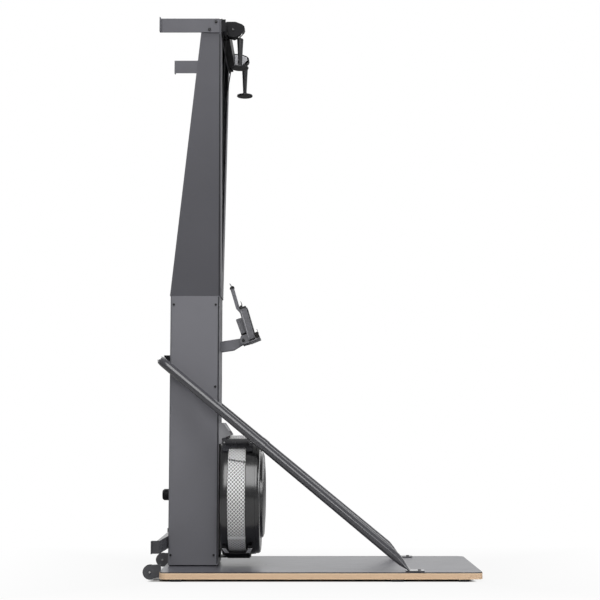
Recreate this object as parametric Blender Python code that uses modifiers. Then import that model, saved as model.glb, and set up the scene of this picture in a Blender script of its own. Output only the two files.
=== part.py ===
"""Ski ergometer: a floor-standing upright with two pull handles, a fan drive, a console and a tubular brace.

Metres, +Z up, +Y to the user's right-hand side of the machine's back, +X towards the user.
Left is -Y and right is +Y. The origin is under the middle of the footprint.
"""

import math

import bmesh
import bpy
from mathutils import Matrix, Vector

# Clearances
GAP = 0.0003
RUNNING = 0.00009

# Platform
BOARD_X = (-0.571, 0.639)
BOARD_HALF_WIDTH = 0.300
BOARD_Z = (0.0093, 0.0330)
DECK_TOP = 0.035
FOOT_STRIPS = {"rear": (-0.529, -0.484), "middle": (0.295, 0.344), "front": (0.545, 0.586)}
WHEEL_RADIUS = 0.028
WHEEL_X = -0.611
WHEEL_Y = 0.224

# Upright
COLUMN_X = (-0.558, -0.3648)
COLUMN_HALF_WIDTH = 0.092
COLUMN_TOP = 1.0910
FRONT_COVER_X = (-0.3645, -0.3625)
SHEET = 0.0025
FLARE_TOP = 2.100
TAB_TOP = 2.1535
FLARE_HALF_WIDTH = 0.285
FLARE_REAR_X = (-0.560, -0.429)
FLARE_FRONT_X = (-0.3615, -0.3528)
WINDOW_TOP = 2.092
WINDOW_SLOPE = 0.2260

# Head and cords
HANDLE_Y = 0.214
HANDLE_X = -0.280
PULLEY_RADIUS = 0.027
PULLEY_X = HANDLE_X - PULLEY_RADIUS
PULLEY_Z = 2.129
CORD_RADIUS = 0.0022
GUIDE_RADIUS = 0.025
GUIDE_Z = 1.400
DROP_Y = 0.030
DROP_X = {"left": -0.390, "right": -0.430}
DRUM_RADIUS = 0.030
BUNGEE_RADIUS = 0.003
BUNGEE_BAR_Z = 1.700

# Fan
FAN_Z = 0.306
FAN_RADIUS = 0.237
AXLE_RADIUS = 0.010

# Brace
BRACE_RADIUS = 0.01825
BRACE_REAR = (-0.591, 0.110, 0.834)
BRACE_JOINT = (-0.204, 0.171, 0.5157)
BRACE_FOOT = (0.361, 0.264, 0.0510)

# Console
PIVOT_X = -0.269
PIVOT_Z = 0.920
POST_SLOPE = 0.2945

SIDES = {"left": -1, "right": 1}

PLANES = {
    "XY": Matrix.Identity(4),
    "XZ": Matrix(((1, 0, 0, 0), (0, 0, -1, 0), (0, 1, 0, 0), (0, 0, 0, 1))),
    "YZ": Matrix(((0, 0, 1, 0), (1, 0, 0, 0), (0, 1, 0, 0), (0, 0, 0, 1))),
}
TURNS = {
    "X": Matrix.Rotation(math.pi / 2, 4, "Y"),
    "Y": Matrix.Rotation(-math.pi / 2, 4, "X"),
    "Z": Matrix.Identity(4),
}


def clear_scene():
    for obj in list(bpy.data.objects):
        bpy.data.objects.remove(obj, do_unlink=True)


clear_scene()
PARTS = bpy.data.collections.new("ski_ergometer")
bpy.context.scene.collection.children.link(PARTS)


def make_material(name, colour, roughness, metallic=0.0):
    material = bpy.data.materials.new(name)
    material.use_nodes = True
    shader = material.node_tree.nodes["Principled BSDF"]
    shader.inputs["Base Color"].default_value = (*colour, 1.0)
    shader.inputs["Roughness"].default_value = roughness
    shader.inputs["Metallic"].default_value = metallic
    material.diffuse_color = (*colour, 1.0)
    return material


FINISHES = {
    "graphite": ((0.125, 0.125, 0.135), 0.45, 0.0),
    "black_paint": ((0.03, 0.03, 0.033), 0.4, 0.0),
    "plastic": ((0.022, 0.022, 0.024), 0.5, 0.0),
    "console_grey": ((0.115, 0.115, 0.122), 0.5, 0.0),
    "rubber": ((0.015, 0.015, 0.015), 0.8, 0.0),
    "steel": ((0.55, 0.55, 0.56), 0.35, 1.0),
    "plywood": ((0.70, 0.47, 0.30), 0.6, 0.0),
    "deck": ((0.33, 0.33, 0.35), 0.75, 0.0),
    "grey_paint": ((0.28, 0.28, 0.29), 0.45, 0.0),
    "cord": ((0.62, 0.62, 0.60), 0.8, 0.0),
    "glass": ((0.01, 0.012, 0.015), 0.1, 0.0),
}


def baked(holder):
    """The evaluated shape of an object as a plain mesh object, welded, with the first one removed."""
    bpy.context.view_layer.update()
    graph = bpy.context.evaluated_depsgraph_get()
    mesh = bpy.data.meshes.new_from_object(holder.evaluated_get(graph))
    mesh.transform(holder.matrix_world)
    welded = bmesh.new()
    welded.from_mesh(mesh)
    bmesh.ops.remove_doubles(welded, verts=welded.verts, dist=0.000005)
    bmesh.ops.dissolve_degenerate(welded, edges=welded.edges, dist=0.000002)
    bmesh.ops.recalc_face_normals(welded, faces=welded.faces)
    welded.to_mesh(mesh)
    welded.free()
    bpy.data.objects.remove(holder, do_unlink=True)
    solid = bpy.data.objects.new("solid", mesh)
    PARTS.objects.link(solid)
    return solid


def prism(plane, outline, low, high, holes=()):
    """A flat outline in one plane, extruded between two positions along the plane's normal."""
    curve = bpy.data.curves.new("outline", "CURVE")
    curve.dimensions = "2D"
    curve.fill_mode = "BOTH"
    curve.extrude = (high - low) / 2
    for loop in (outline, *holes):
        spline = curve.splines.new("POLY")
        spline.points.add(len(loop) - 1)
        for point, (across, up) in zip(spline.points, loop):
            point.co = (across, up, 0.0, 1.0)
        spline.use_cyclic_u = True
    holder = bpy.data.objects.new("outline", curve)
    PARTS.objects.link(holder)
    middle = (high + low) / 2
    side = -1 if plane == "XZ" else 1
    holder.matrix_world = PLANES[plane] @ Matrix.Translation((0, 0, side * middle))
    return baked(holder)


def block(x, y, z):
    """A box between the given limits."""
    mesh = bpy.data.meshes.new("block")
    shape = bmesh.new()
    bmesh.ops.create_cube(shape, size=1.0)
    bmesh.ops.scale(shape, verts=shape.verts, vec=(x[1] - x[0], y[1] - y[0], z[1] - z[0]))
    middle = ((x[0] + x[1]) / 2, (y[0] + y[1]) / 2, (z[0] + z[1]) / 2)
    bmesh.ops.translate(shape, verts=shape.verts, vec=middle)
    shape.to_mesh(mesh)
    shape.free()
    solid = bpy.data.objects.new("solid", mesh)
    PARTS.objects.link(solid)
    return solid


def turned(axis, centre, profile, steps=48, ring=False):
    """A profile of (radius, along) points swept round an axis; a ring's profile closes on itself."""
    mesh = bpy.data.meshes.new("profile")
    count = len(profile)
    edges = [(i, i + 1) for i in range(count - 1)]
    if ring:
        edges.append((count - 1, 0))
    mesh.from_pydata([(radius, 0.0, along) for radius, along in profile], edges, [])
    holder = bpy.data.objects.new("profile", mesh)
    PARTS.objects.link(holder)
    sweep = holder.modifiers.new("Screw", "SCREW")
    sweep.axis = "Z"
    sweep.steps = steps
    sweep.render_steps = steps
    sweep.use_merge_vertices = True
    sweep.merge_threshold = 0.00001
    holder.matrix_world = Matrix.Translation(centre) @ TURNS[axis]
    return baked(holder)


def rod(axis, centre, radius, low, high, steps=20):
    """A plain round bar along an axis, between two distances from its centre."""
    return turned(axis, centre, [(0, high), (radius, high), (radius, low), (0, low)], steps)


def tube(points, radius, resolution=4):
    """A round wire or tube through points, with closed ends."""
    curve = bpy.data.curves.new("wire", "CURVE")
    curve.dimensions = "3D"
    curve.bevel_depth = radius
    curve.bevel_resolution = resolution
    curve.use_fill_caps = True
    spline = curve.splines.new("POLY")
    spline.points.add(len(points) - 1)
    for point, place in zip(spline.points, points):
        point.co = (*place, 1.0)
    holder = bpy.data.objects.new("wire", curve)
    PARTS.objects.link(holder)
    return baked(holder)


def pressed_tube(sections, along, count=20):
    """A straight tube pressed flat toward its end: each ring has a centre, two half sizes and a lean."""
    across = along.cross(Vector((0, 0, 1))).normalized()
    upright = across.cross(along).normalized()
    points = []
    for centre, wide, high, lean in sections:
        up = upright.lerp(Vector((0, 0, 1)), lean).normalized()
        for i in range(count):
            turn = 2 * math.pi * i / count
            points.append(centre + across * (wide * math.cos(turn)) + up * (high * math.sin(turn)))
    last = len(points) - count
    faces = [tuple(range(count)), tuple(range(len(points) - 1, last - 1, -1))]
    for base in range(0, last, count):
        for i in range(count):
            j = (i + 1) % count
            faces.append((base + i, base + count + i, base + count + j, base + j))
    mesh = bpy.data.meshes.new("pressed")
    mesh.from_pydata(points, [], faces)
    holder = bpy.data.objects.new("pressed", mesh)
    PARTS.objects.link(holder)
    return holder


def combine(operation, solid, others):
    for other in others:
        step = solid.modifiers.new("Boolean", "BOOLEAN")
        step.operation = operation
        step.solver = "EXACT"
        step.object = other
        solid = baked(solid)
        bpy.data.objects.remove(other, do_unlink=True)
    return solid


def fused(solid, *others):
    return combine("UNION", solid, others)


def cut(solid, *others):
    return combine("DIFFERENCE", solid, others)


def part(name, solid, finish, origin=(0, 0, 0), sharp=35):
    """Names a solid, gives it its material, and puts its origin where it turns or slides."""
    solid.name = name
    mesh = solid.data
    mesh.name = name
    mesh.transform(Matrix.Translation(-Vector(origin)))
    solid.location = origin
    mesh.materials.clear()
    mesh.materials.append(make_material(name, *FINISHES[finish]))
    for face in mesh.polygons:
        face.use_smooth = True
    mesh.set_sharp_from_angle(angle=math.radians(sharp))
    return solid


def arc(centre, radius, start, stop, count):
    """Points on a circle, in degrees, both ends included."""
    found = []
    for i in range(count + 1):
        angle = math.radians(start + (stop - start) * i / count)
        found.append((centre[0] + radius * math.cos(angle), centre[1] + radius * math.sin(angle)))
    return found


def rounded_rectangle(low, high, radius, count=5):
    left, bottom = low[0] + radius, low[1] + radius
    right, top = high[0] - radius, high[1] - radius
    return (
        arc((right, top), radius, 0, 90, count)
        + arc((left, top), radius, 90, 180, count)
        + arc((left, bottom), radius, 180, 270, count)
        + arc((right, bottom), radius, 270, 360, count)
    )


def strip(points, thickness):
    """The closed outline of a bent strip: a line of points, thickened half to each side."""
    line = [Vector(point) for point in points]
    sides = ([], [])
    for i, point in enumerate(line):
        before = (point - line[i - 1]).normalized() if i else None
        after = (line[i + 1] - point).normalized() if i + 1 < len(line) else None
        along = (before or after) + (after or before)
        along.normalize()
        across = Vector((-along.y, along.x))
        stretch = along.dot(before or after)
        for side, sign in zip(sides, (1, -1)):
            moved = point + across * (sign * thickness / 2 / stretch)
            side.append((moved.x, moved.y))
    return sides[0] + sides[1][::-1]


def bent_path(points, radius, count=8):
    """A 3-D line through points with its inner corners rounded."""
    line = [Vector(point) for point in points]
    found = [line[0]]
    for before, corner, after in zip(line, line[1:], line[2:]):
        back = (before - corner).normalized()
        ahead = (after - corner).normalized()
        half = back.angle(ahead) / 2
        reach = radius / math.tan(half)
        middle = corner + (back + ahead).normalized() * (radius / math.sin(half))
        start = corner + back * reach - middle
        stop = corner + ahead * reach - middle
        for i in range(count + 1):
            found.append(middle + start.slerp(stop, i / count).normalized() * radius)
    found.append(line[-1])
    return found


def flare_half_width(z):
    """Half the width of the upper body, outside its side walls, at a height."""
    share = min(max((z - COLUMN_TOP) / (FLARE_TOP - COLUMN_TOP), 0.0), 1.0)
    return COLUMN_HALF_WIDTH + share * (FLARE_HALF_WIDTH - COLUMN_HALF_WIDTH)


def between(low, high, sign):
    """Two distances from the middle, as limits on the left or right side."""
    return (low, high) if sign > 0 else (-high, -low)


def bolt_head(axis, centre, radius, height, out=1, bury=0.001):
    """A low round bolt head that stands out along an axis and starts inside what holds it."""
    profile = [
        (0, out * height),
        (radius * 0.75, out * height),
        (radius, -out * bury),
        (0, -out * bury),
    ]
    return turned(axis, centre, profile, 12)


def build_platform():
    outline = rounded_rectangle(
        (BOARD_X[0], -BOARD_HALF_WIDTH), (BOARD_X[1], BOARD_HALF_WIDTH), 0.028, 8
    )
    part("platform_board", prism("XY", outline, *BOARD_Z), "plywood")
    outline = rounded_rectangle(
        (BOARD_X[0] + 0.001, -BOARD_HALF_WIDTH + 0.001),
        (BOARD_X[1] - 0.001, BOARD_HALF_WIDTH - 0.001),
        0.027,
        8,
    )
    part("deck_sheet", prism("XY", outline, BOARD_Z[1] + GAP, DECK_TOP), "deck")
    for name, (rear, front) in FOOT_STRIPS.items():
        outline = rounded_rectangle((rear, 0.0), (front, BOARD_Z[0] - GAP), 0.003, 3)
        strip_solid = prism("XZ", outline, -BOARD_HALF_WIDTH + 0.004, BOARD_HALF_WIDTH - 0.004)
        part(f"foot_strip_{name}", strip_solid, "rubber")


def build_wheel(side, sign):
    """A transport wheel and its forked bracket, on the end face of the board."""
    face = BOARD_X[0] - GAP
    cheek = arc((WHEEL_X, WHEEL_RADIUS), 0.026, 95, 290, 13)
    cheek += [(face, 0.0105), (face, 0.0550)]
    cheeks = [
        prism("XZ", cheek, *between(low, high, sign))
        for low, high in ((WHEEL_Y - 0.0125, WHEEL_Y - 0.0095), (WHEEL_Y + 0.0095, WHEEL_Y + 0.0125))
    ]
    web = block((face - 0.003, face - 0.0001), between(WHEEL_Y - 0.030, WHEEL_Y + 0.0115, sign), (0.0115, 0.0325))
    upper = block((face - 0.0032, face - 0.0002), between(WHEEL_Y - 0.0110, WHEEL_Y + 0.0110, sign), (0.030, 0.0540))
    centre = (WHEEL_X, sign * WHEEL_Y, WHEEL_RADIUS)
    bolt = rod("Y", centre, 0.005, -0.0120, 0.0120)
    heads = [
        bolt_head("Y", (WHEEL_X, sign * WHEEL_Y + out * 0.0125, WHEEL_RADIUS), 0.0042, 0.0026, out)
        for out in (-1, 1)
    ]
    part(f"wheel_bracket_{side}", fused(cheeks[0], cheeks[1], web, upper, bolt, *heads), "grey_paint")
    bore = 0.005 + RUNNING
    profile = [
        (bore, 0.009),
        (0.0255, 0.009),
        (WHEEL_RADIUS, 0.0065),
        (WHEEL_RADIUS, -0.0065),
        (0.0255, -0.009),
        (bore, -0.009),
    ]
    wheel = turned("Y", centre, profile, 28, ring=True)
    part(f"transport_wheel_{side}", wheel, "rubber", centre)


def build_column():
    rear, front = COLUMN_X
    half = COLUMN_HALF_WIDTH
    plate = prism(
        "XY",
        rounded_rectangle((rear + 0.004, -half + 0.004), (front - 0.004, half - 0.004), 0.006),
        DECK_TOP + GAP,
        DECK_TOP + 0.0045,
    )
    part("base_plate", plate, "black_paint")
    outline = (
        [(front, half - 0.018), (front, half - 0.003)]
        + arc((front - 0.003, half - 0.003), 0.003, 0, 90, 3)[1:]
        + arc((rear + 0.008, half - 0.008), 0.008, 90, 180, 5)
        + arc((rear + 0.008, -half + 0.008), 0.008, 180, 270, 5)
        + arc((front - 0.003, -half + 0.003), 0.003, 270, 360, 3)
        + [(front, -half + 0.018), (front - SHEET, -half + 0.018)]
        + [(front - SHEET, -half + SHEET)]
        + arc((rear + 0.008, -half + 0.008), 0.008 - SHEET, 270, 180, 5)
        + arc((rear + 0.008, half - 0.008), 0.008 - SHEET, 180, 90, 5)
        + [(front - SHEET, half - SHEET), (front - SHEET, half - 0.018)]
    )
    shell = prism("XY", outline, DECK_TOP + 0.0048, COLUMN_TOP)
    shell = cut(shell, rod("X", (rear, 0, FAN_Z), 0.0145, -0.02, 0.02))
    heads = []
    for x, z in ((-0.544, 1.057), (-0.378, 1.057), (-0.378, 0.732), (-0.548, 0.078), (-0.380, 0.078)):
        for sign in SIDES.values():
            heads.append(bolt_head("Y", (x, sign * half, z), 0.0035, 0.0018, sign))
    part("column_shell", fused(shell, *heads), "graphite")
    cover = block(FRONT_COVER_X, (-half + 0.001, half - 0.001), (DECK_TOP + 0.0048, COLUMN_TOP))
    cover = cut(cover, rod("X", (front, 0, FAN_Z), 0.0145, -0.02, 0.02))
    part("column_front_cover", cover, "graphite")


def build_upper_body():
    """The flared channel: side walls and back as one bent sheet, and the front panel with its window."""
    bottom = COLUMN_TOP + GAP
    rear_low, rear_high = FLARE_REAR_X
    front_low, front_high = FLARE_FRONT_X
    rows = []
    for z, half, rear, front in (
        (bottom, COLUMN_HALF_WIDTH, rear_low, front_low),
        (FLARE_TOP, FLARE_HALF_WIDTH, rear_high, front_high),
        (TAB_TOP, FLARE_HALF_WIDTH, rear_high, front_high),
    ):
        corners = [(front, -half), (rear, -half), (rear, half), (front, half)]
        rows.append([(x, y, z) for x, y in corners])
    mesh = bpy.data.meshes.new("wall")
    faces = []
    for row in range(2):
        for i in range(3):
            a, b = row * 4 + i, row * 4 + i + 1
            faces.append((a, b, b + 4, a + 4))
    mesh.from_pydata([point for row in rows for point in row], [], faces)
    holder = bpy.data.objects.new("wall", mesh)
    PARTS.objects.link(holder)
    wall = holder.modifiers.new("Solidify", "SOLIDIFY")
    wall.thickness = SHEET
    wall.offset = 1.0
    wall.use_even_offset = True
    shell = baked(holder)
    bar_half = flare_half_width(BUNGEE_BAR_Z) - 0.0012
    bar = block((-0.450, -0.3965), (-bar_half, bar_half), (BUNGEE_BAR_Z, BUNGEE_BAR_Z + 0.004))
    part("upper_shell", fused(shell, bar), "graphite", sharp=10)

    slope = (front_high - front_low) / (FLARE_TOP - bottom)
    outer = [
        (-COLUMN_HALF_WIDTH + 0.0005, bottom),
        (COLUMN_HALF_WIDTH - 0.0005, bottom),
        (FLARE_HALF_WIDTH - 0.0005, FLARE_TOP),
        (FLARE_HALF_WIDTH - 0.0005, TAB_TOP),
        (-FLARE_HALF_WIDTH + 0.0005, TAB_TOP),
        (-FLARE_HALF_WIDTH + 0.0005, FLARE_TOP),
    ]
    tip = 1.250 - 0.026 / WINDOW_SLOPE
    spread = math.atan(WINDOW_SLOPE)
    foot = (1.195 - tip * math.sin(spread)) / (1 - math.sin(spread))
    foot_radius = (foot - tip) * math.sin(spread)
    half = 0.026 + WINDOW_SLOPE * (WINDOW_TOP - 1.250)
    spread_deg = math.degrees(spread)
    window = arc((0, foot), foot_radius, -180 + spread_deg, -spread_deg, 10)
    window += [(half, WINDOW_TOP), (-half, WINDOW_TOP)]
    panel = prism("YZ", outer, 0.0, 0.002, [window])
    for vertex in panel.data.vertices:
        vertex.co.x += front_low + 0.0003 + slope * (min(vertex.co.z, FLARE_TOP) - bottom)
    part("upper_front_panel", panel, "graphite", sharp=10)


def build_wall_fixings():
    for side, sign in SIDES.items():
        near = sign * (FLARE_HALF_WIDTH + GAP)
        far = sign * (FLARE_HALF_WIDTH + 0.0043)
        lip = sign * 0.308
        outline = [(-0.589, near), (-0.358, near), (-0.358, far), (-0.585, far), (-0.585, lip), (-0.589, lip)]
        arm = prism("XY", outline, 2.102, 2.157)
        hole = rod("X", (-0.587, sign * 0.2985, 2.1295), 0.004, -0.01, 0.01, 20)
        heads = [
            bolt_head("Y", (x, far, z), 0.005, 0.003, sign) for x, z in ((-0.371, 2.145), (-0.396, 2.114))
        ]
        part(f"wall_arm_{side}", fused(cut(arm, hole), *heads), "graphite")
    line = [
        (-0.598, -0.310),
        (-0.598, -0.292),
        (-0.571, -0.290),
        (-0.5605, -0.094),
        (-0.5605, 0.094),
        (-0.571, 0.290),
        (-0.598, 0.292),
        (-0.598, 0.310),
    ]
    bracket = prism("XY", strip(line, 0.004), 0.1027, 0.1505)
    ledge = [(-0.5610, -0.094), (-0.5610, 0.094), (-0.5704, 0.2755), (-0.5790, 0.2755), (-0.5790, -0.2755)]
    ledge.append((-0.5704, -0.2755))
    part("lower_wall_bracket", fused(bracket, prism("XY", ledge, 0.1478, 0.1503)), "black_paint")


def build_head():
    """The cross beam with the roof of the upper body, and a pulley in its cover on each side."""
    plate = block((-0.3495, -0.3465), (-0.288, 0.288), (2.099, 2.157))
    beam = block((-0.3480, -0.3220), (-0.1940, 0.1940), (2.099, 2.155))
    inside = block((-0.3475, -0.3245), (-0.20, 0.20), (2.1015, 2.1525))
    ears = []
    for sign in SIDES.values():
        ears.append(block((-0.3480, -0.3310), between(0.2405, 0.2435, sign), (2.105, 2.157)))
        ears.append(block((-0.3480, -0.3335), between(0.2845, 0.2870, sign), (2.107, 2.1545)))
    roof = block((-0.4310, -0.3480), (-0.2845, 0.2845), (TAB_TOP + 0.0005, 2.1565))
    part("head_beam", fused(plate, cut(beam, inside), *ears, roof), "black_paint")
    for side, sign in SIDES.items():
        build_pulley(side, sign)


def cover_outline(inset=0.0):
    shape = [
        (-0.3345, 2.1610),
        (-0.2980, 2.1610),
        (-0.2720, 2.1510),
        (-0.2630, 2.1430),
        (-0.2610, 2.1340),
        (-0.2640, 2.1260),
        (-0.2830, 2.1060),
        (-0.3030, 2.0975),
        (-0.3240, 2.1035),
    ]
    middle = Vector((-0.302, 2.129))
    found = []
    for x, z in shape:
        away = Vector((x, z)) - middle
        shorter = away * ((away.length - inset) / away.length)
        found.append((middle.x + shorter.x, middle.y + shorter.y))
    return found


def build_pulley(side, sign):
    centre = (PULLEY_X, sign * HANDLE_Y, PULLEY_Z)
    cover = prism("XZ", cover_outline(), *between(0.1983, 0.2380, sign))
    hollow = prism("XZ", cover_outline(0.0022), *between(0.1900, 0.2358, sign))
    rear = block((-0.350, -0.3255), between(0.1900, 0.2358, sign), (2.1000, 2.1585))
    front_slot = block((-0.2880, -0.2720), between(0.2060, 0.2220, sign), (2.0900, 2.1240))
    hole = rod("Y", (PULLEY_X, sign * 0.237, PULLEY_Z), 0.0031, -0.01, 0.01)
    room = rod("Y", centre, 0.0297, -0.0085, 0.0085, 28)
    part(f"pulley_cover_{side}", cut(cover, hollow, rear, front_slot, hole, room), "black_paint")

    outline = [
        (-0.3462, 2.1560),
        (-0.2980, 2.1560),
        (-0.2720, 2.1460),
        (-0.2680, 2.1330),
        (-0.2900, 2.1120),
        (-0.3100, 2.1050),
        (-0.3462, 2.1050),
    ]
    inner = prism("XZ", outline, *between(0.1953, 0.1980, sign))
    hole = rod("Y", (PULLEY_X, sign * 0.197, PULLEY_Z), 0.0031, -0.01, 0.01)
    part(f"pulley_plate_{side}", cut(inner, hole), "steel")

    bore = 0.005 + RUNNING
    groove = PULLEY_RADIUS - CORD_RADIUS - 0.0008
    profile = [
        (bore, 0.007),
        (0.0285, 0.007),
        (0.0285, 0.0063),
        (groove, 0.0012),
        (groove, -0.0012),
        (0.0285, -0.0063),
        (0.0285, -0.007),
        (bore, -0.007),
    ]
    part(f"head_pulley_{side}", turned("Y", centre, profile, 28, ring=True), "plastic", centre)

    axle = [
        (0, -0.0216),
        (0.0032, -0.0216),
        (0.0042, -0.0190),
        (0.0028, -0.0190),
        (0.0028, -0.0157),
        (0.0050, -0.0157),
        (0.0050, 0.0215),
        (0.0028, 0.0215),
        (0.0028, 0.0243),
        (0.0042, 0.0243),
        (0.0032, 0.0269),
        (0, 0.0269),
    ]
    part(f"pulley_axle_{side}", turned("Y", centre, [(r, sign * h) for r, h in axle], 24), "steel")


def build_handle(side, sign):
    """A tapered grip with a flared bottom disc, hung on a short cord from its pulley."""
    top = 2.0990
    profile = [
        (0, top),
        (0.0105, top),
        (0.0125, top - 0.003),
        (0.0105, top - 0.040),
        (0.0085, top - 0.085),
        (0.0078, 1.9980),
        (0.0095, 1.9920),
        (0.0160, 1.9880),
        (0.0325, 1.9852),
        (0.0335, 1.9835),
        (0.0335, 1.9795),
        (0.0315, 1.9775),
        (0, 1.9775),
    ]
    origin = (HANDLE_X, sign * HANDLE_Y, top)
    grip = turned("Z", (HANDLE_X, sign * HANDLE_Y, 0), profile, 24)
    part(f"handle_{side}", grip, "plastic", origin)
    lower = (HANDLE_X, sign * HANDLE_Y, top + GAP)
    upper = (HANDLE_X, sign * HANDLE_Y, PULLEY_Z - GAP)
    cord = tube([lower, upper], CORD_RADIUS, 3)
    part(f"handle_cord_{side}", cord, "cord", (HANDLE_X, sign * HANDLE_Y, PULLEY_Z - GAP))


def build_drive_cord(side, sign):
    """From the handle's side of the head pulley, over it, down to the guide pulley, and onto the drum."""
    guide_y = DROP_Y + sign * GUIDE_RADIUS
    drop_x = DROP_X[side]
    start = Vector((PULLEY_X - PULLEY_RADIUS, sign * HANDLE_Y, PULLEY_Z))
    lean = math.atan2(sign * HANDLE_Y - DROP_Y, PULLEY_Z - GUIDE_Z)
    points = []
    for i in range(11):
        turn = math.radians(i * 18)
        x = PULLEY_X + PULLEY_RADIUS * math.cos(turn)
        points.append((x, start.y, PULLEY_Z + PULLEY_RADIUS * math.sin(turn)))
    for i in range(4):
        turn = lean * (1 - i / 3)
        y = guide_y - sign * GUIDE_RADIUS * math.cos(turn)
        z = GUIDE_Z + GUIDE_RADIUS * abs(math.sin(turn))
        points.append((drop_x, y, z))
    for i in range(20):
        turn = math.radians(i * 24)
        wound = DRUM_RADIUS + (0.0006 if i else 0.0)
        y = wound * math.cos(turn)
        z = FAN_Z - wound * math.sin(turn)
        points.append((drop_x + 0.005 * i / 15, y, z))
    part(f"drive_cord_{side}", tube(points, CORD_RADIUS, 2), "cord")

    reach = DRUM_RADIUS - CORD_RADIUS + BUNGEE_RADIUS
    bungee_x = drop_x - 0.010
    points = [(bungee_x, -reach, BUNGEE_BAR_Z - GAP)]
    for i in range(10):
        turn = math.radians(i * 18)
        points.append((bungee_x, -reach * math.cos(turn), FAN_Z - reach * math.sin(turn)))
    part(f"return_bungee_{side}", tube(points, BUNGEE_RADIUS, 2), "rubber")


def build_cord_drive():
    """Guide pulleys on their bracket, and the two drums on the fan axle."""
    low, high = GUIDE_Z - 0.030, GUIDE_Z + 0.030
    wide = [flare_half_width(z) - SHEET - 0.0006 for z in (low, high)]
    outline = [(-wide[0], low), (wide[0], low), (wide[1], high), (-wide[1], high)]
    plate = prism("YZ", outline, -0.412, -0.408)
    stubs = []
    for side, sign in SIDES.items():
        y = DROP_Y + sign * GUIDE_RADIUS
        x = DROP_X[side]
        ends = sorted((-0.410 - x, -sign * 0.0095))
        stubs.append(rod("X", (x, y, GUIDE_Z), 0.004, *ends))
    part("guide_bracket", fused(plate, *stubs), "steel")
    groove = GUIDE_RADIUS - CORD_RADIUS - 0.0001
    bore = 0.004 + RUNNING
    profile = [
        (bore, 0.007),
        (0.0275, 0.007),
        (groove, 0.0012),
        (groove, -0.0012),
        (0.0275, -0.007),
        (bore, -0.007),
    ]
    for side, sign in SIDES.items():
        centre = (DROP_X[side], DROP_Y + sign * GUIDE_RADIUS, GUIDE_Z)
        part(f"guide_pulley_{side}", turned("X", centre, profile, 24, ring=True), "plastic", centre)
    barrel = DRUM_RADIUS - CORD_RADIUS - 0.0005
    bore = AXLE_RADIUS + RUNNING
    profile = [
        (bore, 0.016),
        (0.036, 0.016),
        (0.036, 0.014),
        (barrel, 0.014),
        (barrel, -0.016),
        (0.036, -0.016),
        (0.036, -0.018),
        (bore, -0.018),
    ]
    for side in SIDES:
        centre = (DROP_X[side], 0, FAN_Z)
        part(f"cord_drum_{side}", turned("X", centre, profile, 28, ring=True), "plastic", centre)


def build_fan():
    centre = (0, 0, FAN_Z)
    axle = rod("X", centre, AXLE_RADIUS, -0.586, -0.214, 28)
    part("fan_axle", axle, "steel", centre)
    bore = AXLE_RADIUS + RUNNING
    rear = [
        (0, -0.5583 - 0.0317),
        (0.0170, -0.5583 - 0.0317),
        (0.0215, -0.5583 - 0.0270),
        (0.0225, -0.5583 - 0.0230),
        (0.0225, -0.5583),
        (bore, -0.5583),
        (bore, -0.5865),
        (0, -0.5865),
    ]
    part("bearing_rear", turned("X", centre, rear[::-1], 24), "black_paint")
    front = [
        (bore, -0.3500),
        (0.0240, -0.3500),
        (0.0260, -0.3540),
        (0.0340, -0.3560),
        (0.0340, -0.3622),
        (bore, -0.3622),
    ]
    part("bearing_front", turned("X", centre, front, 24, ring=True), "black_paint")

    hub = [
        (AXLE_RADIUS + GAP, -0.2300),
        (0.0260, -0.2300),
        (0.0280, -0.3080),
        (0.2000, -0.3080),
        (0.2000, -0.3110),
        (AXLE_RADIUS + GAP, -0.3110),
    ]
    wheel = turned("X", centre, hub, 28, ring=True)
    blades = []
    for i in range(12):
        blade = block((-0.309, -0.262), (-0.001, 0.001), (0.0265, 0.1960))
        turn = Matrix.Rotation(math.radians(i * 30), 4, "X")
        blade.data.transform(Matrix.Translation(centre) @ turn)
        blades.append(blade)
    part("fan_wheel", fused(wheel, *blades), "plastic", centre)

    skin = 0.0025
    r = FAN_RADIUS
    rear = [
        (r - skin, -0.3222),
        (r, -0.3222),
        (r, -0.3425),
        (r - 0.004, -0.3490),
        (0.0245, -0.3490),
        (0.0245, -0.3490 + skin),
        (r - 0.007, -0.3490 + skin),
        (r - skin, -0.3420),
    ]
    part("fan_rear_shell", turned("X", centre, rear, 52, ring=True), "black_paint")
    mesh = [(0.2318, -0.2535), (0.2330, -0.2535), (0.2330, -0.3215), (0.2318, -0.3215)]
    part("fan_mesh", turned("X", centre, mesh, 52, ring=True), "steel")
    front = [
        (0.1700, -0.1985),
        (0.2180, -0.1985),
        (0.2245, -0.2005),
        (0.2280, -0.2050),
        (0.2290, -0.2110),
        (0.2290, -0.2160),
        (0.2310, -0.2170),
        (0.2350, -0.2520),
        (0.2325, -0.2520),
        (0.2285, -0.2180),
        (0.2262, -0.2170),
        (0.2255, -0.2070),
        (0.2230, -0.2030),
        (0.2180, -0.2012),
        (0.1700, -0.2012),
    ]
    part("fan_front_shell", turned("X", centre, front, 52, ring=True), "black_paint")
    cap = [
        (0, -0.1810),
        (0.1000, -0.1818),
        (0.1540, -0.1850),
        (0.1660, -0.1895),
        (0.1710, -0.1982),
        (0.1680, -0.1982),
        (0.1530, -0.1878),
        (0, -0.1840),
    ]
    part("fan_front_cap", turned("X", centre, cap, 52), "black_paint")
    build_fan_clamps()


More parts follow.
